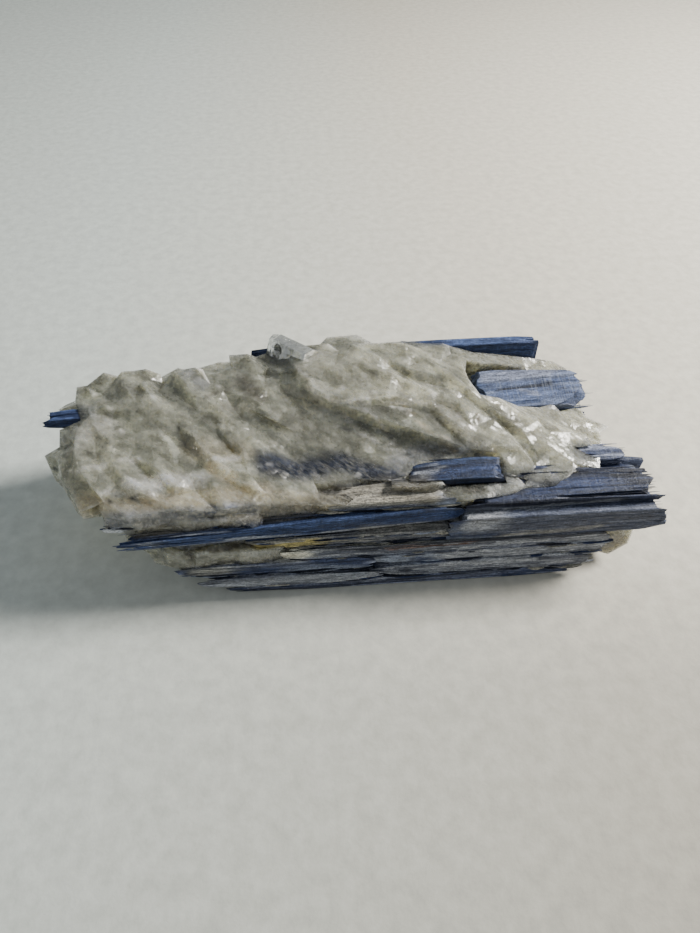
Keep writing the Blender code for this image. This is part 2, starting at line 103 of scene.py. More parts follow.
# Blades: material slot, turn about X, Y and Z in degrees, darkest and lightest laths, how far from the
# front the faces are cut finely, and what share of their thickness the left and right ends keep.
Look = namedtuple("Look", "slot roll pitch yaw dark light fine left right")
BLADES = {
    "bottom_blade": Look("kyanite_grey", 0, 0, 0, NAVY, LILAC, 4, 0.25, 0.5),
    "lens_blade": Look("kyanite_pale", 0, 0, 0, SLATE, PALE, 4, 0.3, 0.3),
    "pale_lower_blade": Look("kyanite_pale", 0, 0, 0, SLATE, PALE, 4, 0.5, 0.5),
    "dark_lower_blade": Look("kyanite_blue", 0, 0, 0, NAVY, LILAC, 4, 0.3, 0.6),
    "grey_lower_blade": Look("kyanite_grey", 0, 0, 0, SLATE, HAZE, 4, 0.6, 0.5),
    "blunt_lower_blade": Look("kyanite_grey", 0, 0, 0, SLATE, HAZE, 4, 0.3, 0.9),
    "thin_middle_blade": Look("kyanite_grey", 0, 0, 0, SLATE, DUST, 4, 0.3, 0.9),
    "long_front_blade": Look("kyanite_navy", 0, -2.6, 1.2, NAVY, BLUE, 5, 0.08, 0.8),
    "grey_front_blade": Look("kyanite_pale", 0, -3.0, 1.2, STEEL, HAZE, 6, 0.4, 0.95),
    "pale_front_blade": Look("kyanite_pale", 0, -1.0, 0, SLATE, STEEL, 9, 0.5, 0.95),
    "main_right_blade": Look("kyanite_grey", 0, 0, 0, NAVY, (0.050, 0.060, 0.085), 20, 0.9, 0.85),
    "upper_right_front_blade": Look("kyanite_navy", 7, 0, 0, INK, (0.018, 0.024, 0.048), 12, 0.8, 0.85),
    "window_blade": Look("kyanite_navy", 13, 0, 0, INK, (0.018, 0.028, 0.060), 9, 0.6, 0.8),
    "small_right_blade": Look("kyanite_blue", 6, 0, 0, NAVY, LILAC, 9, 0.9, 0.8),
    "upper_back_blade": Look("kyanite_blue", 18, -1.0, 2, BLUE, (0.085, 0.105, 0.165), 15, 0.9, 0.7),
    "back_rim_blade": Look("kyanite_navy", 0, 0, 0, NAVY, BLUE, 15, 0.8, 0.9),
    "small_left_blade": Look("kyanite_navy", 0, 0, 0, NAVY, BLUE, 9, 0.5, 0.8),
    "lower_back_blade": Look("kyanite_grey", 0, 0, 0, NAVY, PALE, 15, 0.5, 0.7),
    "middle_back_blade": Look("kyanite_blue", 0, 0, 0, NAVY, LILAC, 15, 0.5, 0.7),
    "right_back_blade": Look("kyanite_navy", 0, 0, 0, NAVY, BLUE, 15, 0.7, 0.5),
    "left_back_blade": Look("kyanite_pale", 0, 0, 0, SLATE, PALE, 15, 0.5, 0.8),
}
# What a blade gains at its left and right ends, so that neighbours in the bundle meet, and in thickness.
GROWN = {"dark_lower_blade": (0, 2.2), "lens_blade": (0, 2.0), "thin_middle_blade": (0, 2.4),
         "long_front_blade": (0, 1.6), "pale_front_blade": (0, 0.9), "main_right_blade": (5, 0),
         "grey_lower_blade": (4, 0), "pale_lower_blade": (4, 0)}
GROWN_THICKNESS = 1.0
# How far a blade's right end draws back at its front and its back edge, where the end is rounded.
ROUNDED = {"upper_back_blade": (6.5, 3.5), "small_right_blade": (2.5, 1.5)}
ROUNDING = 2.5  # how bluntly, from 1 for a straight slope on either side of the tip
# Over what length a blade's left and right ends thin out, where it isn't POINT_LENGTH.
TAPERS = {"dark_lower_blade": (24, 6), "lens_blade": (16, 12), "bottom_blade": (20, 14),
          "long_front_blade": (45, 6), "window_blade": (10, 6), "pale_front_blade": (9, 3)}
# How strongly a blade shows fine lines across it, where it isn't CROSSED_ELSEWHERE.
CROSSED = {"upper_back_blade": 0.35, "small_right_blade": 0.3, "upper_right_front_blade": 0.1}
CROSSED_ELSEWHERE = 0.06
ACROSS_STEP = 0.27  # spacing of the points across a blade, where it is cut finely
COARSE_STEP = 0.9
ALONG_STEP = 0.8
FEWEST_RINGS = 12  # outlines along a short blade
LATH_WIDTH = (0.25, 1.0)
LATH_LENGTH = (4.0, 30.0)
LATH_DEPTH = 0.16  # how far the deepest laths lie inside a blade's faces
DEEPEST_SHARE = 0.2  # the most that this may be of a blade's thickness
LATH_ROUGHNESS = 0.03  # the unevenness of each point
LATH_CREASE = 32.0  # the angle in degrees from which an edge of a lath is sharp
LATH_LAG = 0.55  # how far the end of one lath may lie behind another's
POINT_LENGTH = 7.0  # over how long a blade's ends thin out, unless TAPERS says otherwise
END_INSET = 0.9  # the solid's ends are looked for this share of the way out from the blade's middle
END_CURVE = 0.6  # how bluntly an end thins, from 1 for a wedge towards 0 for a block
END_SET_BACK = 0.25  # how far its front steps back where it thins out to nothing, in thicknesses
END_WIDTH = 0.5  # and the share of its width that it keeps there
END_SIZE = (1, 0.95, 0.85)  # a blade's last ring against the one before it, along X, Y and Z
END_STEP = (0.1, 0.4)  # how far it stands out from that one
DEPTH_SKEW = 1.6  # how much rarer deep laths are than shallow ones
TONE_SKEW = 1.5  # how much rarer light laths are than dark ones
BRIGHTNESS = (0.92, 0.4)  # brightness of the darkest laths, and what the lightest have more
BLADE_SEED = 500

# Splinters lie on the blades' fronts and tops, and laths fill the gaps between stacked blades.
SPLINTER_AREA = (1.9, 3.6)  # one splinter for so many square millimetres of front and of top
SPLINTER_LENGTH = (2.0, 18.0)
SPLINTER_WIDTH = (0.12, 0.50)
SPLINTER_RISE = (0.03, 0.11)
SPLINTER_LEAN = 0.012
SPLINTER_MARGIN = 1.5  # from the blade's ends
SPLINTER_BAND = (0.15, 0.85)  # the part of the front's height that has them
SPLINTER_EDGE = 0.3  # how far back from the front edge those on the top begin
SPLINTER_LONGEST = 0.6  # as a share of the blade
SPLINTER_SUNK = (0.12, 0.1)  # how far the middle of its section lies inside the front or the top
SPLINTER_SECTION = ((-0.5, -1.0), (-0.3, 1.0), (0.3, 1.0), (0.5, -1.0))  # shares of its width and its rise
SPLINTER_SIZES = (0.25, 1.0, 0.9, 0.2)  # from its start to its end
SPLINTER_POINTS = len(SPLINTER_SECTION) * len(SPLINTER_SIZES)
SPLINTER_CROSSED = 0.05
SPLINTER_SEED = 77
TOP_REACH = 9.0  # how far back from a blade's front edge its top has splinters
STACKED = (("bottom_blade", "lens_blade"), ("bottom_blade", "pale_lower_blade"),
           ("lens_blade", "dark_lower_blade"), ("pale_lower_blade", "grey_lower_blade"),
           ("dark_lower_blade", "blunt_lower_blade"), ("grey_lower_blade", "blunt_lower_blade"),
           ("blunt_lower_blade", "thin_middle_blade"), ("thin_middle_blade", "long_front_blade"),
           ("long_front_blade", "grey_front_blade"), ("long_front_blade", "pale_front_blade"))
FILLER_SPACING = 0.9
FILLER_LENGTH = (3, 14)
FILLER_WIDTH = (0.2, 0.7)
FILLER_RISE = (0.3, 0.8)
FILLER_DEPTH = (0.2, 1.2)  # how far behind the two blades' fronts
FILLER_REACH = (2, 1)  # how far beyond the length that both blades share, to the left and the right
FILLER_LAST = 4  # how far before its right end the last of them begins
FILLER_OVERLAP = 0.3  # how far into either blade
FILLER_LEAN = 0.2
FILLER_COLOURS = (INK, INK, NAVY, SLATE, STEEL, DUST)

# Quartz: the remeshed lump, its chips and the three sizes of its facets, each with how far it is drawn out
# along the grain, how steep and how high its facets are, how soft their rims are, and a seed.
VOXEL = 0.40
QUARTZ_CREASE = 9.0  # the angle in degrees from which an edge of the quartz is sharp
FACETS = 3000  # triangles of the thinned-out skin, each later split evenly to carry its colours
SPLITS = 3
CHIPS = 200
CHIP_SIZE = ((1.5, 5.0), (1.0, 2.6), (0.3, 0.6))  # half its length, width and height
CHIP_TURN = 25  # degrees off the grain
CHIP_TILT = 0.15
CHIP_CORNERS = (-0.35, 0.1)  # how far its corners are moved in or out
CHIP_SEED = 11
BLOCK_SIGNS = np.array([(a, b, c) for a in (-1, 1) for b in (-1, 1) for c in (-1, 1)])
BLOCK_SIDES = ((0, 1, 3, 2), (4, 6, 7, 5), (0, 4, 5, 1), (2, 3, 7, 6), (0, 2, 6, 4), (1, 5, 7, 3))
SMOOTHINGS = 14  # rounds of averaging of the directions that facets are raised along
Facets = namedtuple("Facets", "size stretch slope rise soft seed")
BROAD = Facets(6.0, 1.8, 0.15, 0.5, 0.10, 1)
MIDDLING = Facets(2.8, 1.6, 0.16, 0.16, 0.08, 2)
SMALL = Facets(1.1, 1.3, 0.05, 0.02, 0.3, 3)
FINGER = ((-5.2, 13.4, 34.0), (-16.6, 25.6, 32.6))  # root and tip of the clear crystal
FINGER_REACH = 3.0  # the quartz round its root is smooth this far out, and less so up to twice as far
FINGER_SIDES = ((10, 3.5), (62, 3.1), (118, 3.3), (190, 3.7), (242, 3.1), (300, 3.3))  # angle, reach
# Each of its outlines: how far from root to tip, how large, and how far it leans.
FINGER_RINGS = ((0.15, 1.0, 0), (0.5, 1.0, 0), (0.82, 0.98, 0.4), (0.97, 0.7, 0.9), (1.0, 0.4, 0.9))
BASE_VOXEL = 0.45
FLATTENINGS = 120  # rounds of averaging of the height of the lump's top, and how much of it is taken up
FLATTENED = 0.9
BASE_SMOOTHINGS = 3  # rounds of smoothing of the CAD lump's skin before chips and facets are added
SKIN_SMOOTHINGS = 2  # and after the chips are added
GRAIN_ANGLES = ((-64, 64), (-42, 52), (-15, 36), (10, 26), (58, 24))  # x, and the grain's degrees from X
# The smooth hollow face lies a step below the slab behind it, and a groove splits that slab from the right
# end. Each is drawn in x and y.
HOLLOW = ((-13, 8), (-9, 4.5), (-5, 2.5), (-1, 0), (9.5, 0.7), (19.5, -1), (25.6, -8), (33.4, -12.4),
          (35, -19), (-18, -19), (-25, -12), (-24, -5), (-21, 4))
HOLLOW_DEPTH = 0.9
HOLLOW_CALM = 0.8  # how smooth it is
HOLLOW_LIP = (1.2, 0.9, 0.4)  # place, width and height of the raised lip outside its rim
HOLLOW_FADE = (-24, -10)  # it fades out to the left between these two x
HOLLOW_FOOT = (21.0, 24.0)  # the hollow and the groove fade out downwards between these two z
GROOVE = ((10.6, 11.4), (17, 6.9), (26.6, 3.9), (32.2, -1.3), (37.8, -5.5), (41.2, -12.3), (43, -15.5))
GROOVE_WIDTH = 1.1
GROOVE_DEPTH = 1.1
END_WEDGE = ((61.5, -20, 6), 9.0)  # middle and reach of the smooth olive-brown end
# Sheets that carry the quartz over and between the blades: lowest and highest z, and x and y outline.
SHEETS = (
    (25.0, 28.4, ((-62, 19), (-61, 15), (-53, 13.5), (-50, 20), (-58, 21))),
    (25.0, 29.6, ((-54, 20.5), (-53, 15), (-46, 14), (-43, 19.5), (-48, 21))),
    (19.4, 22.8, ((-54, -19), (-53, -22.6), (-40, -23.6), (-20, -23.9), (-19, -19))),
    (22.9, 24.3, ((33, -12), (34, -18.5), (39.5, -17.2), (39.4, -20.4), (42.8, -21), (45, -20.3),
                  (46.7, -20.9), (50.5, -16.9), (52.9, -14.6), (57, -14.6), (58, -12))),
    (23.0, 24.5, ((23.4, -19.4), (23.0, -21.9), (26.2, -22.9), (32.4, -22.3), (39, -20.6), (38, -18.6),
                  (30, -18.8))),
    (20.5, 24.0, ((18.5, -18.5), (26.5, -18.5), (26, -22.4), (19.5, -22.6))),
    (9.0, 14.6, ((-43, -22), (-41, -25.2), (-30, -25.9), (-17, -25.8), (-13.5, -24.5), (-13, -20),
                 (-43, -20))),
    (21.5, 24.6, ((-13, -18.5), (0, -18), (4.5, -20), (1, -22.3), (-11, -22.8))),
    (24.6, 27.0, ((7.3, -16.5), (12, -16.4), (17.5, -17.6), (20, -19.8), (18.5, -21.0), (9, -20.4))),
)
FIBRE_ANGLE = 38
FIBROUS = ((0, -14), (22, 4.5))  # middle and reach of the fibrous blue face
SOFT_RIM = 0.35
# The fibrous edge ends between these two x, and between these two y, and begins between these two z.
FRINGE = ((14.0, 17.0), (-19.0, -17.5), (19.5, 21.5))
PALER = (20, 45)  # the quartz gets paler between these two x
PALER_SHARE = 0.3
BEIGE_SHARE = 0.6  # the most beige that its facets have
# Both follow the random number that also sets how high a facet is raised, so raised facets are painted
# paler and lighter and sunk ones darker: partly a tone from facet to facet, partly painted light and shade.
FACET_SHARES = (0.5, 0.4)  # how much its large and its middling facets differ in that
FACET_TONE_AND_SHADE = (0.82, 0.36)  # brightness of the darkest facets, and what the lightest have more
FRINGE_CREAM = 0.5
FACE_FIBRES = 0.55  # how fibrous the fibrous face is, then the rest, and what its edge has more
REST_FIBRES = 0.2
FRINGE_FIBRES = 0.6

# Markings: colour, share, width and a line through places of the photograph, in its pixels.
# Each is laid on the surface that shows there, and stays there from every side.
# Some of these markings are painted shade, painted shadows and painted highlights, as said where they
# stand.
QUARTZ_STROKES = (
    # the quartz's left end: dark valleys and shaded facets as painted shade, a painted shadow line beside a
    # lump, a lit facet painted lighter as painted light, pale bars, the fibrous cream edge
    (QUARTZ_VIOLET, 0.7, 14, (48, 404), (70, 398)),
    (QUARTZ_SHADE, 0.6, 13, (97, 386), (106, 410), (118, 436)),
    (QUARTZ_SHADE, 0.5, 9, (118, 436), (138, 451), (154, 459)),
    (QUARTZ_SHADE, 0.4, 6, (66, 422), (86, 408), (98, 410)),
    (QUARTZ_SHADE, 0.5, 10, (146, 426), (168, 430), (188, 446)),
    (QUARTZ_SHADE, 0.4, 6, (140, 394), (136, 416)),
    (QUARTZ_VIOLET, 0.6, 14, (186, 374), (202, 384)),
    (QUARTZ_SHADE, 0.6, 4, (170, 394), (190, 380), (206, 366)),
    (SMOKE, 0.6, 4, (206, 398), (230, 386)),
    (QUARTZ_BEIGE, 0.8, 9, (226, 406), (248, 411)),
    (SMOKE, 0.8, 16, (240, 380), (257, 398)),
    (QUARTZ_WHITE, 0.45, 22, (75, 440), (100, 425)),
    (QUARTZ_CREAM, 0.35, 22, (192, 450), (240, 450)),
    (OLIVE, 0.85, 5, (226, 447), (230, 450)),
    (QUARTZ_WHITE, 0.7, 4, (72, 471), (104, 468)),
    (QUARTZ_WHITE, 0.7, 4, (116, 461), (136, 459)),
    (QUARTZ_WHITE, 0.75, 5, (208, 459), (236, 459)),
    (QUARTZ_WHITE, 0.85, 14, (128, 485), (165, 481), (198, 480)),
    (QUARTZ_WHITE, 0.7, 7, (106, 490), (132, 497)),
    (QUARTZ_CREAM, 0.8, 12, (212, 468), (232, 478)),
    (QUARTZ_CREAM, 0.75, 15, (84, 500), (120, 508), (160, 502), (220, 494), (268, 489)),
    # the smooth hollow face, darkened partly as painted shade and partly for the depth of its clear quartz,
    # its light veins and its blue foot
    (QUARTZ_SHADE, 0.2, 42, (250, 420), (300, 424), (345, 438)),
    (SMOKE, 0.2, 26, (300, 425), (350, 450)),
    (QUARTZ_GREY, 0.6, 30, (372, 415), (415, 420), (445, 436)),
    (QUARTZ_BLUE, 0.95, 22, (262, 462), (300, 470), (336, 464), (368, 472), (398, 478)),
    (QUARTZ_VIOLET, 0.7, 18, (400, 462), (420, 452), (446, 450), (480, 450)),
    # painted light on the hollow's left top, where the slab's shadow falls
    (QUARTZ_BEIGE, 0.9, 18, (290, 394), (314, 406)),
    (QUARTZ_WHITE, 0.75, 3, (364, 406), (380, 426), (392, 444), (410, 462), (428, 474)),
    (QUARTZ_WHITE, 0.55, 2.5, (344, 416), (360, 432), (380, 444), (396, 458)),
    (QUARTZ_CREAM, 0.6, 2.5, (400, 402), (416, 420), (440, 436), (456, 448)),
    # the slab above it, with its bright edge as a painted highlight and painted shade under that, painted
    # shade in its dimples and along its ridge and groove, and paler beige on its top and right face, partly
    # their colour and partly painted light where the light falls
    (SMOKE, 0.3, 9, (306, 384), (323, 405), (342, 414), (386, 409), (428, 415), (456, 440)),
    (QUARTZ_WHITE, 0.8, 4, (300, 370), (321, 396), (340, 404), (385, 398), (429, 404), (460, 431),
     (496, 453)),
    (QUARTZ_BEIGE, 0.7, 12, (298, 366), (324, 392), (352, 396), (400, 394), (440, 406), (468, 430)),
    (QUARTZ_BEIGE, 0.5, 30, (320, 360), (380, 372), (440, 392)),
    (QUARTZ_SHADE, 0.4, 9, (362, 368), (376, 372)),
    (QUARTZ_SHADE, 0.45, 7, (400, 374), (424, 384), (446, 392)),
    (QUARTZ_BEIGE, 0.6, 18, (440, 412), (480, 440), (510, 466), (524, 476)),
    (QUARTZ_SHADE, 0.6, 3, (430, 362), (466, 380), (490, 402), (506, 410)),
    (QUARTZ_SHADE, 0.6, 3, (506, 408), (520, 430), (532, 450), (542, 462)),
    (QUARTZ_BEIGE, 0.8, 44, (524, 412), (560, 430), (588, 450)),
    (QUARTZ_GREY, 0.6, 8, (552, 438), (572, 452)),
    (QUARTZ_BEIGE, 0.6, 20, (480, 350), (540, 360)),
    (QUARTZ_BEIGE, 0.7, 12, (500, 476), (545, 480), (562, 480)),
    (QUARTZ_WHITE, 0.9, 2, (548, 468), (560, 486), (568, 480)),
    (SMOKE, 0.8, 10, (459, 488), (482, 489)),
    (QUARTZ_BEIGE, 0.7, 6, (478, 496), (530, 489)),
    (BROWN, 0.6, 2, (474, 413), (476, 420)),
    (BROWN, 0.4, 2, (338, 377), (344, 379)),
    # the smooth end wedge
    (SMOKE, 0.8, 30, (600, 545), (626, 545)),
    (OLIVE, 0.4, 8, (600, 548), (612, 545)),
)
BLADE_STROKES = (
    # the bundle's left half, from its top down
    (SMOKE, 0.8, 17, (256, 513), (290, 512), (312, 509)),
    (DUST, 0.7, 7, (318, 507), (369, 503), (400, 500), (436, 500)),
    (STEEL, 0.8, 9, (442, 501), (456, 504)),
    (HAZE, 0.9, 15, (102, 521), (169, 516), (250, 508)),
    (BLUE, 0.7, 3, (191, 513), (236, 507)),
    (HAZE, 0.8, 11, (104, 529), (130, 527)),
    (SMOKE, 0.8, 9, (134, 534), (170, 531), (215, 527), (250, 523)),
    (BLUE, 0.95, 8, (114, 543), (150, 545), (191, 540)),
    (BLUE, 0.95, 13, (185, 540), (253, 529), (316, 520), (369, 516), (414, 512)),
    # painted highlights: white glints on the long blade's left tip
    (PALE, 0.9, 4, (138, 543), (156, 545)),
    (PALE, 0.7, 1.5, (153, 540), (191, 535), (230, 531)),
    (PALE, 0.8, 2.5, (169, 547), (218, 542), (244, 538), (313, 535), (369, 527), (420, 522)),
    (QUARTZ_BEIGE, 0.7, 20, (168, 556), (200, 560), (300, 552)),
    (SMOKE, 0.9, 8, (190, 552), (254, 547)),
    (DUST, 0.9, 7, (229, 546), (231, 550)),
    (DUST, 0.9, 7, (243, 546), (244, 549)),
    (OLIVE, 0.9, 8, (258, 547), (290, 544), (316, 541)),
    (CREAM, 0.5, 5, (186, 563), (230, 560), (300, 555)),
    (NAVY, 0.85, 3, (176, 569), (204, 567), (271, 563)),
    (DUST, 0.7, 9, (191, 574), (224, 571)),
    (NAVY, 0.8, 9, (240, 572), (280, 566), (330, 562), (378, 561)),
    (STEEL, 0.85, 10, (290, 573), (304, 569), (360, 571)),
    (PALE, 0.7, 7, (220, 584), (280, 580), (360, 577), (404, 574)),
    # painted shadow along the bundle's foot, where it meets the floor
    (INK, 0.9, 2.5, (236, 591), (302, 588), (369, 583), (427, 578), (515, 568)),
    # the bundle's right half
    (NAVY, 0.8, 4, (350, 522), (400, 518), (427, 514)),
    (DUST, 0.6, 9, (360, 531), (450, 526)),
    (PALE, 0.9, 19, (453, 524), (499, 520)),
    # painted shadow in the cleft under the main right blade
    (INK, 0.9, 3, (340, 549), (373, 548), (460, 542), (560, 535), (604, 533)),
    (BROWN, 0.5, 1.5, (385, 549), (470, 542)),
    (STEEL, 0.8, 10, (384, 559), (430, 558)),
    (NAVY, 0.8, 6, (418, 560), (434, 561)),
    (INK, 0.8, 4, (399, 571), (410, 570)),
    (PALE, 0.5, 13, (455, 556), (520, 549), (604, 541)),
    (NAVY, 0.6, 3, (485, 547), (560, 543)),
    (PALE, 0.6, 12, (594, 541), (604, 545)),
    (SLATE, 0.7, 24, (508, 524), (580, 518), (655, 512)),
    (DUST, 0.6, 3, (502, 535), (604, 526)),
    (PALE, 0.7, 2.5, (504, 510), (550, 506), (620, 499)),
    (INK, 0.9, 4, (458, 506), (530, 502), (590, 500)),
    (NAVY, 0.7, 15, (535, 489), (600, 480)),
    # the upper right blade: a lilac upper half, a black cleft painted as shade and a blue lower half
    (LILAC, 0.7, 12, (486, 378), (558, 371)),
    (BLUE, 0.7, 12, (506, 394), (570, 393)),
    (LILAC, 0.7, 4, (548, 407), (580, 403), (594, 392)),
    (LILAC, 0.6, 3, (524, 390), (544, 394)),
    (INK, 0.95, 3.5, (498, 390), (530, 386), (552, 383)),
    # the blade in the window, blue and hazy
    (NAVY, 0.7, 12, (432, 472), (500, 468)),
    (HAZE, 0.4, 7, (420, 474), (440, 468)),
    # the smoky middle of the pale band
    (SMOKE, 0.85, 24, (322, 497), (380, 492), (430, 493)),
    (SMOKE, 0.5, 5, (330, 490), (400, 486), (450, 490)),
)
# painted highlights: white spots painted on the quartz as glints
PAINTED_GLINTS = ((342, 388), (382, 361), (426, 384), (374, 392), (456, 414), (430, 395), (184, 374), (215, 384),
          (152, 398), (118, 432))
SPECKS = ((175, 427), (343, 428), (90, 450), (341, 457), (460, 522), (108, 500), (132, 499), (52, 470))
SPOT_SHARE = 0.9
SPOT_WIDTH = 4.0
SPOT_END = (2, 1)
STROKE_STEP = 8.0  # spacing of the places at which a stroke is laid on the surface, in pixels
STROKE_SLACK = 2.5  # how far behind or before the surface a stroke still holds, in millimetres
STROKE_FADE = 3.0  # and what each millimetre beyond that counts for, in pixels
STROKE_JITTER = (5.0, 1.2, 0.0)  # how far a lath's paint is shifted along, across and in depth, in pixels
FACET_JITTER = 6.0  # how far a facet's paint is shifted, in pixels
Laid = namedtuple("Laid", "colour share width places")

# The stage: place, size, power and colour of each light, in metres and watts, and the sky's glow.
FLOOR_REACH = 1.5
LIGHTS = {"window": ((0.62, 0.15, 0.44), 0.22, 18.0, (1.0, 0.97, 0.91)),
          "fill": ((-0.3, -0.6, 0.5), 0.8, 1.4, (0.90, 0.95, 1.0))}
SKY = ((0.75, 0.80, 0.82, 1.0), 0.38)


def values_of(items, key, width, kind=float):
    """One property of all of a mesh's vertices, edges or triangles, a row for each."""
    values = np.empty(len(items) * width, kind)
    items.foreach_get(key, values)
    return values.reshape(-1, width)


def mesh_arrays(mesh):
    """A mesh's points and the corners of its triangles."""
    mesh.calc_loop_triangles()
    return values_of(mesh.vertices, "co", 3), values_of(mesh.loop_triangles, "vertices", 3, np.int32)


def node_arrays(name):
    """A CAD node's points in millimetres and the corners of its triangles."""
    points, triangles = mesh_arrays(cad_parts[name].data)
    return points / MM, triangles


def new_object(name, data):
    obj = bpy.data.objects.new(name, data)
    bpy.context.scene.collection.objects.link(obj)
    return obj


def turn_matrix(roll, pitch, yaw):
    """The matrix that turns row vectors about X, then Y, then Z, by degrees."""
    a, b, c = (math.radians(angle) for angle in (roll, pitch, yaw))
    about_x = np.array(((1, 0, 0), (0, math.cos(a), -math.sin(a)), (0, math.sin(a), math.cos(a))))
    about_y = np.array(((math.cos(b), 0, math.sin(b)), (0, 1, 0), (-math.sin(b), 0, math.cos(b))))
    about_z = np.array(((math.cos(c), -math.sin(c), 0), (math.sin(c), math.cos(c), 0), (0, 0, 1)))
    return (about_z @ about_y @ about_x).T


def blend(colours, share, colour):
    """The colours, each moved by its share towards one colour."""
    return colours + np.clip(share, 0, 1)[:, None] * (np.array(colour) - colours)


def photo_view():
    """The camera's right, up and back, its place in millimetres and its focal length in pixels."""
    heading, elevation = math.radians(CAMERA_HEADING), math.radians(CAMERA_ELEVATION)
    back = np.array((-math.sin(heading) * math.cos(elevation), -math.cos(heading) * math.cos(elevation),
                     math.sin(elevation)))
    right = np.cross((0, 0, 1), back)
    right /= np.linalg.norm(right)
    eye = (np.array(CAMERA_TARGET) + back * CAMERA_DISTANCE) / MM
    return right, np.cross(back, right), back, eye, CAMERA_LENS / SENSOR * PHOTO_SIZE[1]


def photo_places(points):
    """Where points appear in the photograph, in pixels, and how deep they lie before the camera."""
    right, up, back, eye, focal = photo_view()
    away = points - eye
    depth = -away @ back
    scale = focal / depth
    return np.column_stack([PHOTO_SIZE[0] / 2 + away @ right * scale, PHOTO_SIZE[1] / 2 - away @ up * scale,
                            depth])


def frame_surface():
    """Every CAD surface as one tree that rays can be cast at."""
    corners, faces, count = [], [], 0
    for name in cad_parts:
        points, triangles = node_arrays(name)
        corners.append(points)
        faces += (triangles + count).tolist()
        count += len(points)
    return BVHTree.FromPolygons(np.concatenate(corners).tolist(), faces)


def laid_line(surface, line):
    """A line on the surface that shows there, as places in the photograph with their depths."""
    right, up, back, eye, focal = photo_view()
    hits = []
    for start, end in zip(np.array(line[:-1], float), np.array(line[1:], float)):
        steps = max(2, math.ceil(np.linalg.norm(end - start) / STROKE_STEP))
        for x, y in np.linspace(start, end, steps):
            away = right * (x - PHOTO_SIZE[0] / 2) / focal + up * (PHOTO_SIZE[1] / 2 - y) / focal - back
            hit = surface.ray_cast(eye, away)[0]
            if hit:
                hits.append(hit)
    return photo_places(np.array(hits)) if len(hits) > 1 else None


def laid_strokes(surface, strokes, spots, spot_colour):
    """Strokes and small spots laid on the surface, without those that miss it."""
    spots = tuple((spot_colour, SPOT_SHARE, SPOT_WIDTH, (x, y), (x + SPOT_END[0], y + SPOT_END[1]))
                  for x, y in spots)
    laid = [Laid(*stroke[:3], laid_line(surface, stroke[3:])) for stroke in strokes + spots]
    return [stroke for stroke in laid if stroke.places is not None]


def line_distance(places, line):
    """How far each place lies from a line in its first two numbers, and past the slack in a third one."""
    nearest = np.full(len(places), np.inf)
    for a, b in zip(line[:-1], line[1:]):
        along = (b - a)[:2]
        share = np.clip((places - a)[:, :2] @ along / (along @ along + 1e-9), 0, 1)
        away = places - a - share[:, None] * (b - a)
        away[:, 2:] = np.maximum(np.abs(away[:, 2:]) - STROKE_SLACK, 0) * STROKE_FADE
        nearest = np.minimum(nearest, np.linalg.norm(away, axis=1))
    return nearest


def paint(colours, points, laid, shift):
    """The colours with every stroke laid on near its place on the surface.

    A stroke is full up to a quarter of its width from its line, and gone at three quarters."""
    places = photo_places(points) + shift
    for stroke in laid:
        reach = stroke.width + 1
        low, high = stroke.places.min(axis=0) - reach, stroke.places.max(axis=0) + reach
        near = np.flatnonzero(np.all((places > low) & (places < high), axis=1))
        inside = np.clip(1.5 - 2 * line_distance(places[near], stroke.places) / stroke.width, 0, 1)
        colours[near] = blend(colours[near], stroke.share * inside, stroke.colour)
    return colours


def add_piece(name, points, faces, material, slot, nodes, colours, grain, **masks):
    """A mesh piece that rides on the root, from points in millimetres and lists of corners.

    It keeps its colours, its places along, across and up the grain, and any masks from 0 to 1."""
    low, high = np.array(cad_box) / MM
    mesh = bpy.data.meshes.new(name)
    mesh.from_pydata((np.clip(points, low, high) * MM).tolist(), [], faces)
    for key, values in (("tint", np.clip(colours, 0, 1)), ("grain", grain * MM)):
        mesh.attributes.new(key, "FLOAT_VECTOR", "POINT").data.foreach_set("vector", values.ravel())
    for key, values in masks.items():
        mesh.attributes.new(key, "FLOAT", "POINT").data.foreach_set("value", np.asarray(values, float))
    mesh.shade_smooth()
    mesh.set_sharp_from_angle(angle=math.radians(QUARTZ_CREASE if slot == "quartz" else LATH_CREASE))
    mesh.materials.append(material)
    piece = new_object(name, mesh)
    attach(piece, "root")
    if nodes:
        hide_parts(*nodes)


# ---------------------------------------------------------------- materials

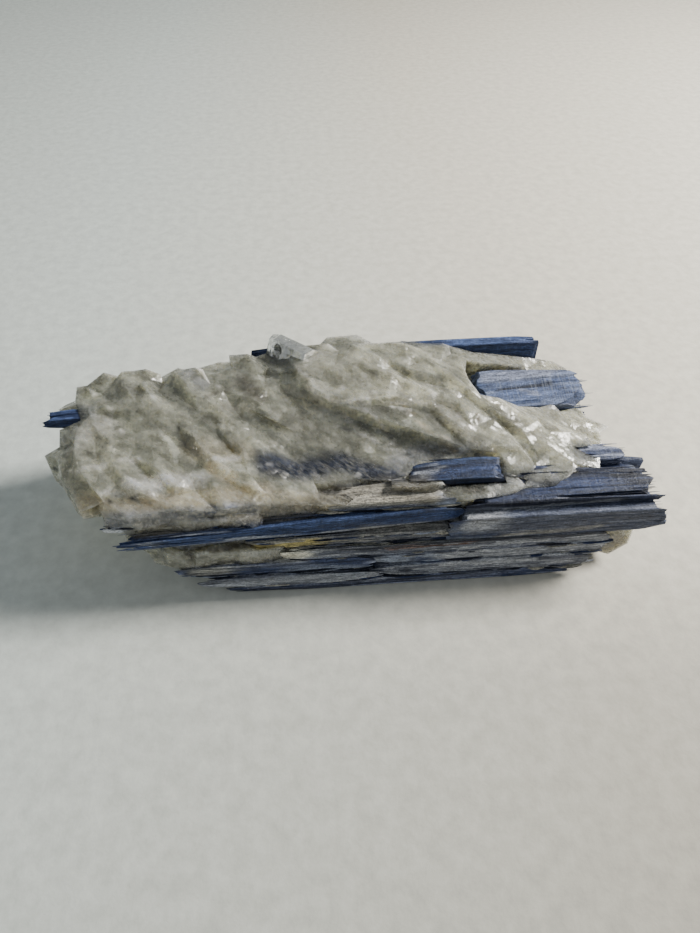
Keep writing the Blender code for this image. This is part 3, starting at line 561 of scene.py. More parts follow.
class NodeTree:
    """A new material's nodes, and the few ways in which they are joined here."""

    def __init__(self, name):
        self.material = bpy.data.materials.new(name)
        self.material.use_nodes = True
        self.nodes = self.material.node_tree.nodes
        self.link = self.material.node_tree.links.new
        self.surface = self.nodes["Principled BSDF"].inputs

    def node(self, kind, **settings):
        made = self.nodes.new(kind)
        for key, value in settings.items():
            if key in made.inputs:
                made.inputs[key].default_value = value
            else:
                setattr(made, key, value)
        return made

    def feed(self, socket, value):
        """Joins a socket to another node's output, or sets it to a constant."""
        if isinstance(value, bpy.types.NodeSocket):
            self.link(value, socket)
        else:
            socket.default_value = value

    def ramp(self, source, *stops):
        """Shades of grey along a value: each stop is a place and a level."""
        made = self.node("ShaderNodeValToRGB")
        elements = made.color_ramp.elements
        while len(elements) < len(stops):
            elements.new(0.5)
        for element, (place, level) in zip(elements, stops):
            element.position = place
            element.color = (level, level, level, 1.0)
        self.link(source, made.inputs["Fac"])
        return made.outputs["Color"]

    def noise(self, place, scale, detail, stretch=(1.0, 1.0, 1.0)):
        """Noise at so many grains a metre, drawn out along each axis by stretch."""
        mapping = self.node("ShaderNodeMapping", Scale=[1.0 / length for length in stretch])
        made = self.node("ShaderNodeTexNoise", Scale=scale, Detail=detail, Roughness=0.6)
        self.link(place, mapping.inputs["Vector"])
        self.link(mapping.outputs["Vector"], made.inputs["Vector"])
        return made.outputs["Fac"]

    def attribute(self, name, output="Fac"):
        return self.node("ShaderNodeAttribute", attribute_name=name).outputs[output]

    def mix(self, kind, factor, a, b):
        """Two colours mixed; the factor and b may be constants."""
        made = self.node("ShaderNodeMix", data_type="RGBA", blend_type=kind)
        for number, value in ((0, factor), (6, a), (7, b)):
            self.feed(made.inputs[number], value)
        return made.outputs[2]

    def shaded(self, colour, source, *stops):
        """A colour made darker and lighter along a value."""
        return self.mix("MULTIPLY", 1.0, colour, self.ramp(source, *stops))

    def maths(self, operation, *values):
        made = self.node("ShaderNodeMath", operation=operation)
        for socket, value in zip(made.inputs, values):
            self.feed(socket, value)
        return made.outputs["Value"]

    def bump(self, height, strength, distance, normal=None):
        made = self.node("ShaderNodeBump", Strength=strength, Distance=distance)
        self.link(height, made.inputs["Height"])
        if normal:
            self.link(normal, made.inputs["Normal"])
        return made.outputs["Normal"]

    def dress(self, values):
        """Feeds the surface's own sockets, by name."""
        for name, value in values.items():
            self.feed(self.surface[name], value)


def kyanite_material():
    """Streaked blades: the tint of each lath, with streaks along it, pale hair lines and cross lines."""
    tree = NodeTree("kyanite")
    place = tree.attribute("grain", "Vector")
    tint = tree.attribute("tint", "Vector")
    broad = tree.noise(place, 1300.0, 5.0, (9.0, 1.0, 1.0))
    fine = tree.noise(place, 5200.0, 3.0, (8.0, 1.0, 1.0))
    specks = tree.noise(place, 3400.0, 2.0, (1.6, 1.0, 1.0))
    cross = tree.noise(place, 3200.0, 3.0, (1.0, 30.0, 30.0))
    dirt = tree.noise(place, 420.0, 6.0, (2.5, 1.0, 1.0))
    colour = tree.shaded(tint, broad, (0.30, 0.50), (0.50, 1.0), (0.70, 1.6))
    colour = tree.shaded(colour, fine, (0.30, 0.55), (0.50, 1.0), (0.70, 1.6))
    colour = tree.shaded(colour, specks, (0.32, 0.62), (0.50, 1.0), (0.68, 1.4))
    frost = tree.mix("MULTIPLY", 1.0, tint, (2.8, 2.7, 2.5, 1.0))
    hairs = tree.ramp(fine, (0.60, 0.0), (0.74, 0.75))
    colour = tree.mix("MIX", hairs, colour, frost)
    lines = tree.maths("MULTIPLY", tree.ramp(cross, (0.50, 0.0), (0.68, 0.8)), tree.attribute("cross"))
    colour = tree.mix("MIX", lines, colour, (0.30, 0.33, 0.39, 1.0))
    dust = tree.maths("MULTIPLY", tree.ramp(dirt, (0.50, 0.0), (0.70, 0.7)),
                      tree.ramp(specks, (0.42, 0.0), (0.58, 1.0)))
    height = tree.maths("ADD", broad, tree.maths("MULTIPLY", specks, 0.5))
    tree.dress({
        "Base Color": tree.mix("MIX", dust, colour, frost),
        "Roughness": tree.maths("MULTIPLY_ADD", specks, 0.5, 0.25),
        "Normal": tree.bump(height, 0.8, 0.0003),
        "IOR": 1.5,
        "Specular IOR Level": 0.22,
    })
    return tree.material


def tilted_cells(tree, place, scale, slope):
    """A height that is flat over each of many small cells, with each cell tilted its own way."""
    cells = tree.node("ShaderNodeTexVoronoi", Scale=scale)
    tree.link(place, cells.inputs["Vector"])
    product = tree.node("ShaderNodeVectorMath", operation="DOT_PRODUCT")
    pairs = ((place, cells.outputs["Position"]), (cells.outputs["Color"], (0.5, 0.5, 0.5)))
    for factor, (value, middle) in zip(product.inputs, pairs):
        offset = tree.node("ShaderNodeVectorMath", operation="SUBTRACT")
        tree.feed(offset.inputs[0], value)
        tree.feed(offset.inputs[1], middle)
        tree.link(offset.outputs[0], factor)
    return tree.maths("MULTIPLY", product.outputs["Value"], slope)


def quartz_material(name, transmission, density):
    """Translucent quartz: the tint of each point, with clouds, grain and combed white fibres."""
    tree = NodeTree(name)
    place = tree.node("ShaderNodeTexCoord").outputs["Object"]
    along = tree.attribute("grain", "Vector")
    fibres = tree.attribute("fibres")
    cloud = tree.noise(along, 230.0, 6.0, (3.4, 1.0, 1.0))
    flaws = tree.noise(along, 620.0, 6.0, (1.9, 1.0, 1.0))
    grain = tree.noise(place, 2400.0, 3.0)
    comb = tree.noise(along, 2600.0, 4.0, (14.0, 1.0, 1.0))
    colour = tree.attribute("tint", "Vector")
    colour = tree.shaded(colour, cloud, (0.30, 0.62), (0.50, 1.0), (0.70, 1.32))
    colour = tree.shaded(colour, flaws, (0.32, 0.72), (0.50, 1.0), (0.68, 1.32))
    colour = tree.shaded(colour, grain, (0.34, 0.76), (0.50, 1.0), (0.66, 1.28))
    white = tree.ramp(flaws, (0.60, 0.0), (0.78, 0.45))
    colour = tree.mix("MIX", white, colour, (0.72, 0.70, 0.64, 1.0))
    combed = tree.maths("MULTIPLY", tree.ramp(comb, (0.48, 0.0), (0.66, 0.85)), fibres)
    tilts = tree.maths("ADD", tilted_cells(tree, place, 380.0, 0.40),
                       tilted_cells(tree, place, 1000.0, 0.30))
    combing = tree.maths("ADD", flaws, tree.maths("MULTIPLY", comb, fibres))
    height = tree.maths("ADD", tree.maths("MULTIPLY", grain, 0.35), combing)
    tree.dress({
        "Base Color": tree.mix("MIX", combed, colour, (0.62, 0.60, 0.53, 1.0)),
        "Roughness": tree.ramp(flaws, (0.35, 0.14), (0.65, 0.38)),
        "Normal": tree.bump(height, 0.25, 0.0004, tree.bump(tilts, 1.0, 1.0)),
        "IOR": 1.54,
        "Transmission Weight": transmission,
        "Subsurface Weight": 1.0,
        "Subsurface Scale": 0.010,
        "Subsurface Radius": (1.0, 0.95, 0.8),
    })
    absorb = tree.node("ShaderNodeVolumeAbsorption", Color=(0.82, 0.80, 0.70, 1.0), Density=density)
    tree.link(absorb.outputs["Volume"], tree.nodes["Material Output"].inputs["Volume"])
    return tree.material


def floor_material():
    """A pale matt surface, faintly mottled, cooler to the left, warmer to the right, with painted shade
    darkening it in front.
    """
    tree = NodeTree("floor")
    place = tree.node("ShaderNodeTexCoord").outputs["Object"]
    mottle = tree.noise(place, 260.0, 8.0)
    axes = tree.node("ShaderNodeSeparateXYZ")
    tree.link(place, axes.inputs["Vector"])
    side = tree.maths("MULTIPLY_ADD", axes.outputs["X"], 7.0, 0.6)
    side = tree.ramp(side, (0.0, 0.2), (1.0, 1.0))
    # painted shade: the floor is darkened towards the front, more so to the right
    front = tree.maths("MULTIPLY", axes.outputs["Y"], -9.0)
    front = tree.ramp(front, (0.1, 1.0), (0.5, 0.70), (1.0, 0.58))
    colour = tree.mix("MIX", side, (0.51, 0.57, 0.555, 1.0), (0.525, 0.50, 0.43, 1.0))
    colour = tree.mix("MULTIPLY", side, colour, front)
    tree.dress({
        "Base Color": tree.shaded(colour, mottle, (0.35, 0.90), (0.65, 1.08)),
        "Normal": tree.bump(mottle, 0.25, 0.0006),
        "Roughness": 0.8,
    })
    return tree.material


# ---------------------------------------------------------------- blades

def spaced(low, high, fine):
    """Places from low to high, near each other over the fine length and wider apart after it."""
    places = [low]
    while places[-1] < high:
        places.append(places[-1] + (ACROSS_STEP if places[-1] - low < fine else COARSE_STEP))
    places = np.array(places)
    return low + (places - low) * (high - low) / (places[-1] - low)


def blade_outline(low, high, fine):
    """The outline across a blade, as rows of y, z, inward y and inward z.

    With it come how far along it each row lies, and how many rows go up and across."""
    (y0, z0), (y1, z1) = low, high
    up = spaced(z0, z1, z1 - z0)[1:-1]
    across = spaced(y0, y1, fine)[1:-1]
    front = [(y0, z, 1, 0) for z in up]
    top = [(y, z1, 0, -1) for y in across]
    back = [(y1, z, -1, 0) for z in up[::-1]]
    bottom = [(y, z0, 0, 1) for y in across[::-1]]
    rows = np.array(front + top + back + bottom)
    steps = np.linalg.norm(np.diff(rows[:, :2], axis=0, append=rows[:1, :2]), axis=1)
    return rows, np.concatenate([[0], np.cumsum(steps)[:-1]]), (len(up), len(across))


def lath_strips(lengths, rng):
    """Which lath each place along the outline belongs to."""
    edges = [0.0]
    while edges[-1] < lengths[-1] + 1:
        edges.append(edges[-1] + rng.uniform(*LATH_WIDTH))
    return np.searchsorted(edges, lengths, side="right") - 1


def lath_values(x, strip, rng):
    """Two random numbers for each point that change from lath to lath and at breaks along each lath."""
    deep, tone = np.zeros_like(x), np.zeros_like(x)
    low, high = x.min(), x.max()
    for number in range(strip.max() + 1):
        columns = np.flatnonzero(strip == number)
        start = low - rng.uniform(0, LATH_LENGTH[1])
        while start < high:
            end = start + rng.uniform(*LATH_LENGTH)
            here = (x[:, columns] >= start) & (x[:, columns] < end)
            deep[:, columns] = np.where(here, rng.random() ** DEPTH_SKEW, deep[:, columns])
            tone[:, columns] = np.where(here, rng.random(), tone[:, columns])
            start = end
    return deep, tone


def side_faces(rings, count):
    """Quads between rings of count points."""
    k = np.arange(count)
    ring = (np.arange(rings - 1) * count)[:, None]
    after = (k + 1) % count
    quads = np.stack([ring + k, ring + after, ring + count + after, ring + count + k], axis=-1)
    return quads.reshape(-1, 4).tolist()


def bar_faces(rings, count):
    """A bar's sides and its two flat ends."""
    first = list(range(count))
    return side_faces(rings, count) + [first[::-1], [(rings - 1) * count + k for k in first]]


def end_strips(up, across):
    """An end of a blade as strips from its top to its bottom, closed at the front and the back."""
    top, back, bottom = up, up + across, 2 * up + across
    last = bottom + across - 1
    strips = [[top + j, top + j + 1, last - j - 1, last - j] for j in range(across - 1)]
    front_fan = [[last, k, k + 1] for k in range(up)]
    back_fan = [[back - 1, k, k + 1] for k in range(back, bottom)]
    return strips + front_fan + back_fan


def blade_faces(rings, up, across):
    """A blade's sides and its two ends, for an outline with so many points up and across."""
    count = 2 * (up + across)
    strips = end_strips(up, across)
    far = [[(rings - 1) * count + k for k in strip] for strip in strips]
    return side_faces(rings, count) + [strip[::-1] for strip in strips] + far


def blade_colours(look, points, tone, laid, shift):
    """Each point's colour between the blade's dark and light, with the strokes painted over it."""
    dark, light = np.array(look.dark), np.array(look.light)
    colours = dark + (light - dark) * (tone ** TONE_SKEW)[:, None]
    painted = paint(colours, points, laid, shift)
    return painted * (BRIGHTNESS[0] + BRIGHTNESS[1] * tone)[:, None]


def blade_frame(name):
    """A blade's turn, its points once it is turned square, and the lowest and highest corners of those."""
    look = BLADES[name]
    turn = turn_matrix(look.roll, look.pitch, look.yaw)
    corners = node_arrays(name)[0] @ turn.T
    return turn, corners, corners.min(axis=0), corners.max(axis=0)


def solid_ends(name, corners, low, high, outline):
    """Where the blade's solid begins and ends along X, at each place of the outline across it."""
    solid = BVHTree.FromPolygons(corners.tolist(), node_arrays(name)[1].tolist())
    middle = (low[1:] + high[1:]) / 2
    ends = []
    for place in outline[:, :2]:
        y, z = middle + (place - middle) * END_INSET
        first, _, _, _ = solid.ray_cast((low[0] - 5, y, z), (1, 0, 0))
        last, _, _, _ = solid.ray_cast((high[0] + 5, y, z), (-1, 0, 0))
        ends.append((first[0], last[0]) if first and last else (low[0] + 2, high[0] - 2))
    return np.array(ends).T


def end_rounding(name, low, high, outline):
    """How far a blade's right end draws back at each place of the outline."""
    sideways = 2 * (outline[:, 0] - low[1]) / (high[1] - low[1]) - 1
    return np.where(sideways < 0, *ROUNDED.get(name, (0, 0))) * np.abs(sideways) ** ROUNDING


def kept_share(name, look, x, left, right):
    """The share of its thickness that a blade keeps at each x: less towards its ends."""
    taper_left, taper_right = TAPERS.get(name, (POINT_LENGTH, POINT_LENGTH))
    from_left = np.clip((x - left) / taper_left, 0, 1)
    from_right = np.clip((right - x) / taper_right, 0, 1)
    return np.minimum(look.left + (1 - look.left) * from_left ** END_CURVE,
                      look.right + (1 - look.right) * from_right ** END_CURVE)


def with_end_rings(rings, rng):
    """The rings along a blade with a smaller one added at each end."""
    ends = []
    for end, out in ((0, -1), (-1, 1)):
        middle = rings[end].mean(axis=0)
        ends.append([middle + (rings[end] - middle) * END_SIZE + (out * rng.uniform(*END_STEP), 0, 0)])
    return np.concatenate([ends[0], rings, ends[1]])


def add_blade(name, look, number, material, laid):
    rng = np.random.default_rng(BLADE_SEED + number)
    turn, corners, low, high = blade_frame(name)
    outline, lengths, counts = blade_outline(low[1:], high[1:], look.fine)
    strip = lath_strips(lengths, rng)
    lag = rng.uniform(0, LATH_LAG, (2, strip.max() + 1))[:, strip]
    first, last = solid_ends(name, corners, low, high, outline)
    grown_left, grown_right = GROWN.get(name, (0, 0))
    first = first + lag[0] - grown_left
    last = last - lag[1] + grown_right - end_rounding(name, low, high, outline)
    rings = max(FEWEST_RINGS, round((high[0] - low[0]) / ALONG_STEP))
    x = first + np.linspace(0, 1, rings)[:, None] * (last - first)
    deep, tone = lath_values(x, strip, rng)
    thickness = high[2] - low[2]
    inward = min(LATH_DEPTH, DEEPEST_SHARE * thickness) * deep + LATH_ROUGHNESS * rng.random(x.shape)
    kept = kept_share(name, look, x, low[0], high[0] + grown_right)
    middle = (low[2] + high[2]) / 2
    z = outline[:, 1] + outline[:, 3] * inward
    z = middle + (z - middle) * kept * (1 + GROWN_THICKNESS / thickness)
    y = outline[:, 0] + outline[:, 2] * inward
    width_kept = END_WIDTH + (1 - END_WIDTH) * kept
    y = low[1] + END_SET_BACK * (1 - kept) * thickness + (y - low[1]) * width_kept
    rings = with_end_rings(np.stack([x, y, z], axis=-1), rng)
    local = rings.reshape(-1, 3)
    points = local @ turn
    tone = np.concatenate([tone[:1], tone, tone[-1:]]).ravel()
    scrambled = (tone * 7.3) % 1  # a second random number from the first
    shift = np.column_stack([tone - 0.5, scrambled - 0.5, tone]) * STROKE_JITTER * 2
    cross = np.full(len(local), CROSSED.get(name, CROSSED_ELSEWHERE))
    add_piece(name + "_laths", points, blade_faces(len(rings), *counts), material, look.slot, (name,),
              blade_colours(look, points, tone, laid, shift), local + 50 * number, cross=cross)


def splinter_points(start, end, aside, out, width, rise):
    """A thin bar from start to end with sharp ends."""
    places = np.linspace(start, end, len(SPLINTER_SIZES))
    section = np.array(SPLINTER_SECTION)
    across = section[:, :1] * width * aside + section[:, 1:] * rise * out
    return (places[:, None, :] + across * np.array(SPLINTER_SIZES)[:, None, None]).reshape(-1, 3)


def blade_splinters(name, rng):
    """Splinters on a blade's front and on the front part of its top: points, turn and tone of each."""
    turn, _, low, high = blade_frame(name)
    x_axis, y_axis, z_axis = np.eye(3)
    length, thickness = high[0] - low[0], high[2] - low[2]
    reach = min(TOP_REACH, high[1] - low[1])
    for on_top, size, area in zip((False, True), (thickness, reach), SPLINTER_AREA):
        for _ in range(round(length * size / area)):
            long = min(rng.uniform(*SPLINTER_LENGTH), SPLINTER_LONGEST * length)
            x = rng.uniform(low[0] + SPLINTER_MARGIN, high[0] - SPLINTER_MARGIN - long)
            if on_top:
                back = rng.uniform(SPLINTER_EDGE, reach)
                start = np.array((x, low[1] + back, high[2] - SPLINTER_SUNK[1]))
                aside, out = y_axis, z_axis
            else:
                height = rng.uniform(*SPLINTER_BAND) * thickness
                start = np.array((x, low[1] + SPLINTER_SUNK[0], low[2] + height))
                aside, out = z_axis, -y_axis
            end = start + long * x_axis + rng.uniform(-SPLINTER_LEAN, SPLINTER_LEAN) * long * aside
            bar = splinter_points(start, end, aside, out, rng.uniform(*SPLINTER_WIDTH),
                                  rng.uniform(*SPLINTER_RISE))
            yield bar, turn, rng.random()


def filler_laths(rng):
    """Thin laths in the gap between each pair of stacked blades: points and colour of each."""
    boxes = {name: np.array(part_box(name)) / MM for name in BLADES}
    _, y_axis, z_axis = np.eye(3)
    for below, above in STACKED:
        (low_a, high_a), (low_b, high_b) = boxes[below], boxes[above]
        left = max(low_a[0], low_b[0]) - FILLER_REACH[0]
        right = min(high_a[0], high_b[0]) + FILLER_REACH[1]
        front = max(low_a[1], low_b[1])
        foot, top = sorted((high_a[2] - FILLER_OVERLAP, low_b[2] + FILLER_OVERLAP))
        for _ in range(round((right - left) / FILLER_SPACING)):
            x = rng.uniform(left, right - FILLER_LAST)
            start = np.array((x, front + rng.uniform(*FILLER_DEPTH), rng.uniform(foot, top)))
            length = min(right - x, rng.uniform(*FILLER_LENGTH))
            end = start + (length, *rng.uniform(-FILLER_LEAN, FILLER_LEAN, 2))
            bar = splinter_points(start, end, z_axis, -y_axis, rng.uniform(*FILLER_WIDTH),
                                  rng.uniform(*FILLER_RISE))
            yield bar, FILLER_COLOURS[rng.integers(len(FILLER_COLOURS))]


def add_splinters(material, laid):
    rng = np.random.default_rng(SPLINTER_SEED)
    bars, grains, colours = [], [], []
    for name, look in BLADES.items():
        made = list(blade_splinters(name, rng))
        points = np.concatenate([bar @ turn for bar, turn, _ in made])
        tone = np.repeat([tone for _, _, tone in made], SPLINTER_POINTS)
        shift = rng.uniform(-1, 1, (len(made), 3)).repeat(SPLINTER_POINTS, axis=0) * STROKE_JITTER
        bars.append(points)
        grains += [bar + rng.uniform(0, 40, 3) for bar, _, _ in made]
        colours.append(blade_colours(look, points, tone, laid, shift))
    for bar, colour in filler_laths(rng):
        bars.append(bar)
        grains.append(bar + rng.uniform(0, 40, 3))
        colours.append(np.tile(colour, (SPLINTER_POINTS, 1)))
    points = np.concatenate(bars)
    sides = bar_faces(len(SPLINTER_SIZES), len(SPLINTER_SECTION))
    faces = [[start + corner for corner in side]
             for start in range(0, len(points), SPLINTER_POINTS) for side in sides]
    add_piece("splinters", points, faces, material, "kyanite_grey", (), np.concatenate(colours),
              np.concatenate(grains), cross=np.full(len(points), SPLINTER_CROSSED))


# ---------------------------------------------------------------- quartz

def random_numbers(cells, seed, count):
    """So many numbers from 0 to 1 for each row of three whole numbers, the same ones each time."""
    state = (cells * (73856093, 19349663, 83492791)).sum(axis=1) + seed * 7919
    numbers = []
    for _ in range(count):
        state = (state * 1103515245 + 12345) & 0x7FFFFFFF
        state ^= state >> 11
        numbers.append((state & 0xFFFFF) / 0xFFFFF)
    return np.stack(numbers, axis=-1)


def facet_heights(points, facets):
    """A height for each point that is flat around scattered middles, and each middle's random number."""
    places = grain_places(points, facets.stretch)
    base = np.floor(places / facets.size).astype(np.int64)
    nearest = np.full((2, len(places)), np.inf)
    heights = np.zeros((2, len(places)))
    shade = np.zeros(len(places))
    for shift in np.ndindex(3, 3, 3):
        cells = base + np.array(shift) - 1
        numbers = random_numbers(cells, facets.seed, 7)
        offset = places - (cells + numbers[:, :3]) * facets.size
        distance = np.sqrt((offset ** 2).sum(axis=1))
        tilt = (numbers[:, 3:6] - 0.5) * 2 * facets.slope
        height = (offset * tilt).sum(axis=1) + facets.rise * (numbers[:, 6] - 0.5)
        first = distance < nearest[0]
        second = ~first & (distance < nearest[1])
        nearest[1] = np.where(first, nearest[0], np.where(second, distance, nearest[1]))
        heights[1] = np.where(first, heights[0], np.where(second, height, heights[1]))
        nearest[0] = np.where(first, distance, nearest[0])
        heights[0] = np.where(first, height, heights[0])
        shade = np.where(first, numbers[:, 6], shade)
    inside = np.clip((nearest[1] - nearest[0]) / (facets.soft * facets.size), 0, 1)
    return heights[0] * (0.5 + 0.5 * inside) + heights[1] * (0.5 - 0.5 * inside), shade


def turned_places(points, degrees, stretch):
    """The points along a direction in plan, across it and up, with the length along it shortened."""
    angle = np.radians(degrees)
    along = points[:, 0] * np.cos(angle) - points[:, 1] * np.sin(angle)
    across = points[:, 0] * np.sin(angle) + points[:, 1] * np.cos(angle)
    return np.column_stack([along / stretch, across, points[:, 2]])


def grain_places(points, stretch):
    return turned_places(points, np.interp(points[:, 0], *zip(*GRAIN_ANGLES)), stretch)


def oval_share(points, middle, reach):
    """1 inside an oval of x and y, 0 outside it, and between them over a soft rim."""
    distance = np.hypot(*((points[:, :2] - middle) / reach).T)
    return np.clip((1 + SOFT_RIM - distance) / (2 * SOFT_RIM), 0, 1)


def between(values, low, high):
    """0 up to the low value, 1 from the high one on, and even between them."""
    return np.clip((values - low) / (high - low), 0, 1)


def hollow_depth(points):
    """How far each point lies inside the hollow's outline, and less than 0 outside it."""
    outline = np.array(HOLLOW + HOLLOW[:1], float)
    inside = np.zeros(len(points), bool)
    for (xa, ya), (xb, yb) in zip(outline[:-1], outline[1:]):
        spans = (ya > points[:, 1]) != (yb > points[:, 1])
        inside ^= spans & (points[:, 0] < xa + (points[:, 1] - ya) * (xb - xa) / (yb - ya + 1e-9))
    return line_distance(points[:, :2], outline) * np.where(inside, 1, -1)


def calm_share(points):
    """1 where the quartz is smooth and 0 where it is broken into facets."""
    middle, reach = END_WEDGE
    wedge = np.clip(2 - 2 * np.linalg.norm(points - middle, axis=1) / reach, 0, 1)
    hollow = HOLLOW_CALM * between(hollow_depth(points), 0, 1) * between(points[:, 2], *HOLLOW_FOOT)
    return np.maximum(np.maximum(wedge, hollow), finger_share(points))


def finger_share(points):
    """1 near the clear crystal that sticks out of the crest, and 0 away from it."""
    root, tip = np.array(FINGER)
    along = tip - root
    share = np.clip((points - root) @ along / (along @ along), 0.3, 1)
    distance = np.linalg.norm(points - root - share[:, None] * along, axis=1)
    return np.clip(2 - distance / FINGER_REACH, 0, 1)


def chip_points(rng, points, triangles):
    """Blocks with jittered corners, strewn over the lump's surface along its grain."""
    corners = points[triangles]
    normals = np.cross(corners[:, 1] - corners[:, 0], corners[:, 2] - corners[:, 0])
    areas = np.linalg.norm(normals, axis=1)
    picked = rng.choice(len(triangles), CHIPS, p=areas / areas.sum())
    weights = rng.dirichlet((1, 1, 1), CHIPS)
    middles = (corners[picked] * weights[:, :, None]).sum(axis=1)
    ups = normals[picked] / areas[picked, None]
    angle = np.interp(middles[:, 0], *zip(*GRAIN_ANGLES)) + rng.uniform(-CHIP_TURN, CHIP_TURN, CHIPS)
    angle = np.radians(angle)
    grain = np.column_stack([np.cos(angle), -np.sin(angle), np.zeros(CHIPS)])
    along = grain - (grain * ups).sum(axis=1)[:, None] * ups
    along /= np.linalg.norm(along, axis=1)[:, None] + 1e-9
    aside = np.cross(ups, along)
    half = np.column_stack([rng.uniform(*span, CHIPS) for span in CHIP_SIZE])
    half *= 1 - 0.97 * calm_share(middles)[:, None]
    jitter = BLOCK_SIGNS * (1 + rng.uniform(*CHIP_CORNERS, (CHIPS, *BLOCK_SIGNS.shape)))
    tilt = rng.uniform(-CHIP_TILT, CHIP_TILT, (CHIPS, 1))
    local = jitter * half[:, None, :]
    local[:, :, 2] += tilt * local[:, :, 0]
    return (middles[:, None] + local[:, :, :1] * along[:, None] + local[:, :, 1:2] * aside[:, None]
            + local[:, :, 2:] * ups[:, None]).reshape(-1, 3)


def sheet_mesh(foot, top, outline):
    """A flat sheet of quartz: its points and its faces."""
    count = len(outline)
    points = [(x, y, z) for z in (foot, top) for x, y in outline]
    sides = [[k, (k + 1) % count, count + (k + 1) % count, count + k] for k in range(count)]
    return points, [list(range(count))[::-1], list(range(count, 2 * count))] + sides


def apply_modifier(obj, kind, **settings):
    modifier = obj.modifiers.new(kind.lower(), kind)
    for key, value in settings.items():
        setattr(modifier, key, value)
    graph = bpy.context.evaluated_depsgraph_get()
    mesh = bpy.data.meshes.new_from_object(obj.evaluated_get(graph))
    obj.modifiers.clear()
    obj.data = mesh


def scratch_object(points, faces):
    mesh = bpy.data.meshes.new("scratch")
    mesh.from_pydata(points.tolist(), [], faces)
    return new_object("scratch", mesh)


def neighbour_means(mesh, values, rounds):
    """The values at a mesh's points, averaged with their neighbours' over and over."""
    edges = values_of(mesh.edges, "vertices", 2, np.int32)
    ends = np.concatenate([edges, edges[:, ::-1]])
    count = np.bincount(ends[:, 0], minlength=len(values))[:, None]
    for _ in range(rounds):
        total = np.column_stack([np.bincount(ends[:, 0], column[ends[:, 1]], len(values))
                                 for column in values.T])
        values = 0.5 * values + 0.5 * total / count
    return values


def smoothed_normals(mesh):
    normals = neighbour_means(mesh, values_of(mesh.vertex_normals, "vector", 3), SMOOTHINGS)
    return normals / (np.linalg.norm(normals, axis=1)[:, None] + 1e-9)


def move_points(lump, points):
    lump.data.vertices.foreach_set("co", points.ravel())
    lump.data.update()


def flatten_top(lump):
    """Levels the ridges of the lump's top and leaves its rim where it is.

    The skin counts as top where its slope is under 37 degrees, and less and less up to 66 degrees."""
    points, _ = mesh_arrays(lump.data)
    share = np.clip(2.5 * smoothed_normals(lump.data)[:, 2] - 1.0, 0.0, 1.0)
    means = neighbour_means(lump.data, np.column_stack([points[:, 2] * share, share]), FLATTENINGS)
    level = means[:, 0] / (means[:, 1] + 1e-9)
    points[:, 2] += FLATTENED * share * np.where(share > 0, level - points[:, 2], 0)
    move_points(lump, points)


def quartz_lump():
    """The CAD lump smoothed, with chips and sheets added, as one even skin."""
    points, triangles = node_arrays("quartz_matrix")
    lump = scratch_object(points, triangles.tolist())
    apply_modifier(lump, "REMESH", mode="VOXEL", voxel_size=BASE_VOXEL)
    apply_modifier(lump, "SMOOTH", factor=0.5, iterations=BASE_SMOOTHINGS)
    flatten_top(lump)
    points, triangles = mesh_arrays(lump.data)
    bpy.data.objects.remove(lump)
    chips = chip_points(np.random.default_rng(CHIP_SEED), points, triangles)
    blocks = [[start + corner for corner in side]
              for start in range(0, len(chips), len(BLOCK_SIGNS)) for side in BLOCK_SIDES]
    faces = triangles.tolist()
    meshes = [(chips, blocks)] + [sheet_mesh(*sheet) for sheet in SHEETS]
    for more_points, more_faces in meshes:
        faces += [[len(points) + corner for corner in face] for face in more_faces]
        points = np.concatenate([points, more_points])
    lump = scratch_object(points, faces)
    apply_modifier(lump, "REMESH", mode="VOXEL", voxel_size=VOXEL)
    apply_modifier(lump, "SMOOTH", factor=0.5, iterations=SKIN_SMOOTHINGS)
    return lump


def quartz_heights(points):
    """How far each point of the remeshed skin is raised."""
    broad, middling, small = (facet_heights(points, facets)[0] for facets in (BROAD, MIDDLING, SMALL))
    high = between(points[:, 2], *HOLLOW_FOOT)
    inside = hollow_depth(points)
    lip, lip_width, lip_height = HOLLOW_LIP
    hollow = between(inside, -0.5, 0.5) * HOLLOW_DEPTH
    hollow -= np.exp(-((inside + lip) / lip_width) ** 2) * lip_height
    hollow *= between(points[:, 0], *HOLLOW_FADE)
    groove = GROOVE_DEPTH * np.exp(-(line_distance(points[:, :2], np.array(GROOVE)) / GROOVE_WIDTH) ** 2)
    return (1 - calm_share(points)) * (broad + middling + small) - high * (hollow + groove)


def quartz_colours(points, laid):
    """Each point's colour, from its facets, its place and the strokes, and how fibrous it is."""
    _, broad = facet_heights(points, BROAD)
    _, middling = facet_heights(points, MIDDLING)
    share = 0.5 + FACET_SHARES[0] * (broad - 0.5) + FACET_SHARES[1] * (middling - 0.5)
    share += PALER_SHARE * between(points[:, 0], *PALER)
    colours = blend(np.tile(QUARTZ_GREY, (len(points), 1)), share * BEIGE_SHARE, QUARTZ_BEIGE)
    along, back, up = (between(points[:, axis], *FRINGE[axis]) for axis in range(3))
    edge = (1 - along) * (1 - back) * up
    colours = blend(colours, FRINGE_CREAM * edge, QUARTZ_CREAM)
    shift = np.column_stack([broad - 0.5, middling - 0.5, np.zeros_like(broad)]) * FACET_JITTER
    # raised facets lighter and sunk ones darker: partly painted light and shade
    tone_and_shade = FACET_TONE_AND_SHADE[0] + FACET_TONE_AND_SHADE[1] * middling
    fibres = np.maximum(FACE_FIBRES * oval_share(points, *FIBROUS), REST_FIBRES + FRINGE_FIBRES * edge)
    return paint(colours, points, laid, shift) * tone_and_shade[:, None], fibres


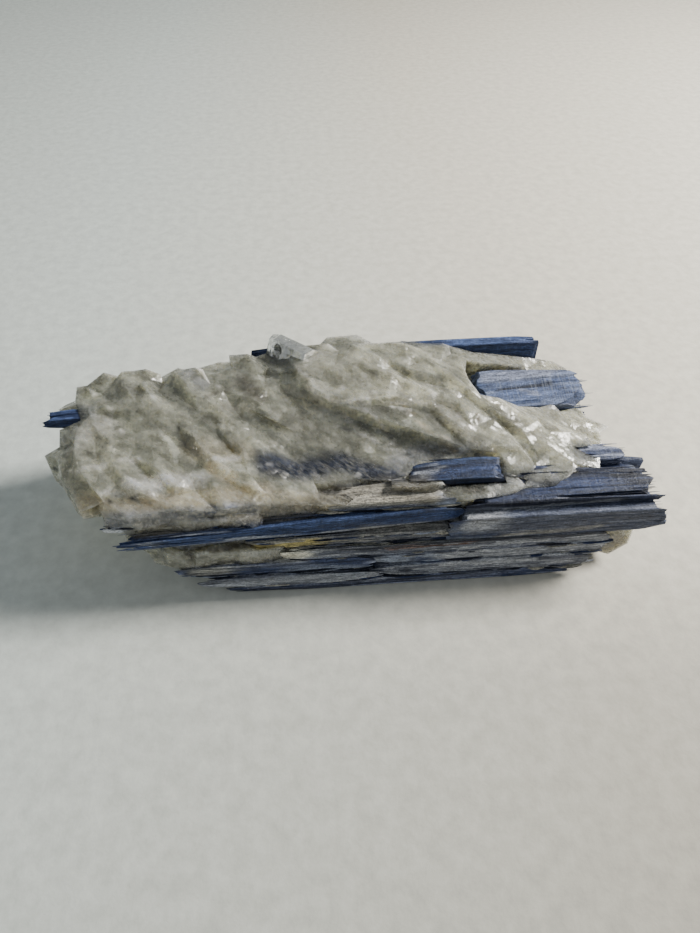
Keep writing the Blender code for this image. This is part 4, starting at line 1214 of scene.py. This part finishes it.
def split_triangles(points, triangles):
    """Each triangle split at the middles of its sides into four."""
    sides = np.sort(triangles[:, [[0, 1], [1, 2], [2, 0]]].reshape(-1, 2), axis=1)
    sides, middle = np.unique(sides, axis=0, return_inverse=True)
    a, b, c = triangles.T
    ab, bc, ca = middle.reshape(-1, 3).T + len(points)
    parts = [(a, ab, ca), (b, bc, ab), (c, ca, bc), (ab, bc, ca)]
    return (np.concatenate([points, points[sides].mean(axis=1)]),
            np.concatenate([np.stack(part, axis=-1) for part in parts]))


def add_quartz(material, laid):
    lump = quartz_lump()
    points, triangles = mesh_arrays(lump.data)
    move_points(lump, points + smoothed_normals(lump.data) * quartz_heights(points)[:, None])
    apply_modifier(lump, "DECIMATE", ratio=FACETS / len(triangles))
    points, triangles = mesh_arrays(lump.data)
    for _ in range(SPLITS):
        points, triangles = split_triangles(points, triangles)
    colours, fibres = quartz_colours(points, laid)
    bpy.data.objects.remove(lump)
    add_piece("quartz_facets", points, triangles.tolist(), material, "quartz", ("quartz_matrix",), colours,
              turned_places(points, FIBRE_ANGLE, 1.0), fibres=fibres)


def add_finger(material):
    """The clear crystal that sticks out of the crest: a six-sided prism with a bevelled tip."""
    root, tip = np.array(FINGER)
    axis = (tip - root) / np.linalg.norm(tip - root)
    aside = np.cross(axis, (0, 0, 1))
    aside /= np.linalg.norm(aside)
    up = np.cross(aside, axis)
    rings = []
    for share, size, lean in FINGER_RINGS:
        for angle, reach in FINGER_SIDES:
            a = math.radians(angle)
            rings.append(root + (tip - root) * share + axis * lean * math.cos(a)
                         + (aside * math.cos(a) + up * math.sin(a)) * reach * size)
    rings = np.array(rings).reshape(len(FINGER_RINGS), len(FINGER_SIDES), 3)
    points = rings.reshape(-1, 3)
    colours = np.tile(QUARTZ_GREY, (len(points), 1))
    add_piece("finger_crystal", points, bar_faces(len(FINGER_RINGS), len(FINGER_SIDES)), material, "quartz",
              (), colours, points, fibres=np.zeros(len(points)))


# ---------------------------------------------------------------- stage

def add_camera():
    camera = new_object("camera", bpy.data.cameras.new("camera"))
    back = Vector(photo_view()[2])
    camera.location = Vector(CAMERA_TARGET) + back * CAMERA_DISTANCE
    camera.rotation_euler = back.to_track_quat("Z", "Y").to_euler()
    camera.data.sensor_width = SENSOR
    camera.data.lens = CAMERA_LENS
    camera.data.clip_start = 0.01
    bpy.context.scene.camera = camera


def add_area_light(name, place, size, power, colour):
    light = bpy.data.lights.new(name, "AREA")
    light.size = size
    light.energy = power
    light.color = colour
    obj = new_object(name, light)
    obj.location = place
    obj.rotation_euler = Vector(place).to_track_quat("Z", "Y").to_euler()


def add_stage():
    mesh = bpy.data.meshes.new("floor")
    corners = ((-1, -1), (1, -1), (1, 1), (-1, 1))
    mesh.from_pydata([(x * FLOOR_REACH, y * FLOOR_REACH, 0) for x, y in corners], [], [(0, 1, 2, 3)])
    mesh.materials.append(floor_material())
    new_object("floor", mesh)
    for name, light in LIGHTS.items():
        add_area_light(name, *light)
    world = bpy.data.worlds.new("world")
    world.use_nodes = True
    sky = world.node_tree.nodes["Background"].inputs
    sky["Color"].default_value, sky["Strength"].default_value = SKY
    bpy.context.scene.world = world


add_camera()
add_stage()
surface = frame_surface()
blade_strokes = laid_strokes(surface, BLADE_STROKES, SPECKS, INK)
quartz_strokes = laid_strokes(surface, QUARTZ_STROKES, PAINTED_GLINTS, QUARTZ_WHITE) + blade_strokes
kyanite = kyanite_material()
for number, (name, look) in enumerate(BLADES.items()):
    add_blade(name, look, number, kyanite, blade_strokes)
add_splinters(kyanite, blade_strokes)
add_quartz(quartz_material("quartz", 0.55, 60.0), quartz_strokes)
add_finger(quartz_material("clear_quartz", 0.85, 30.0))
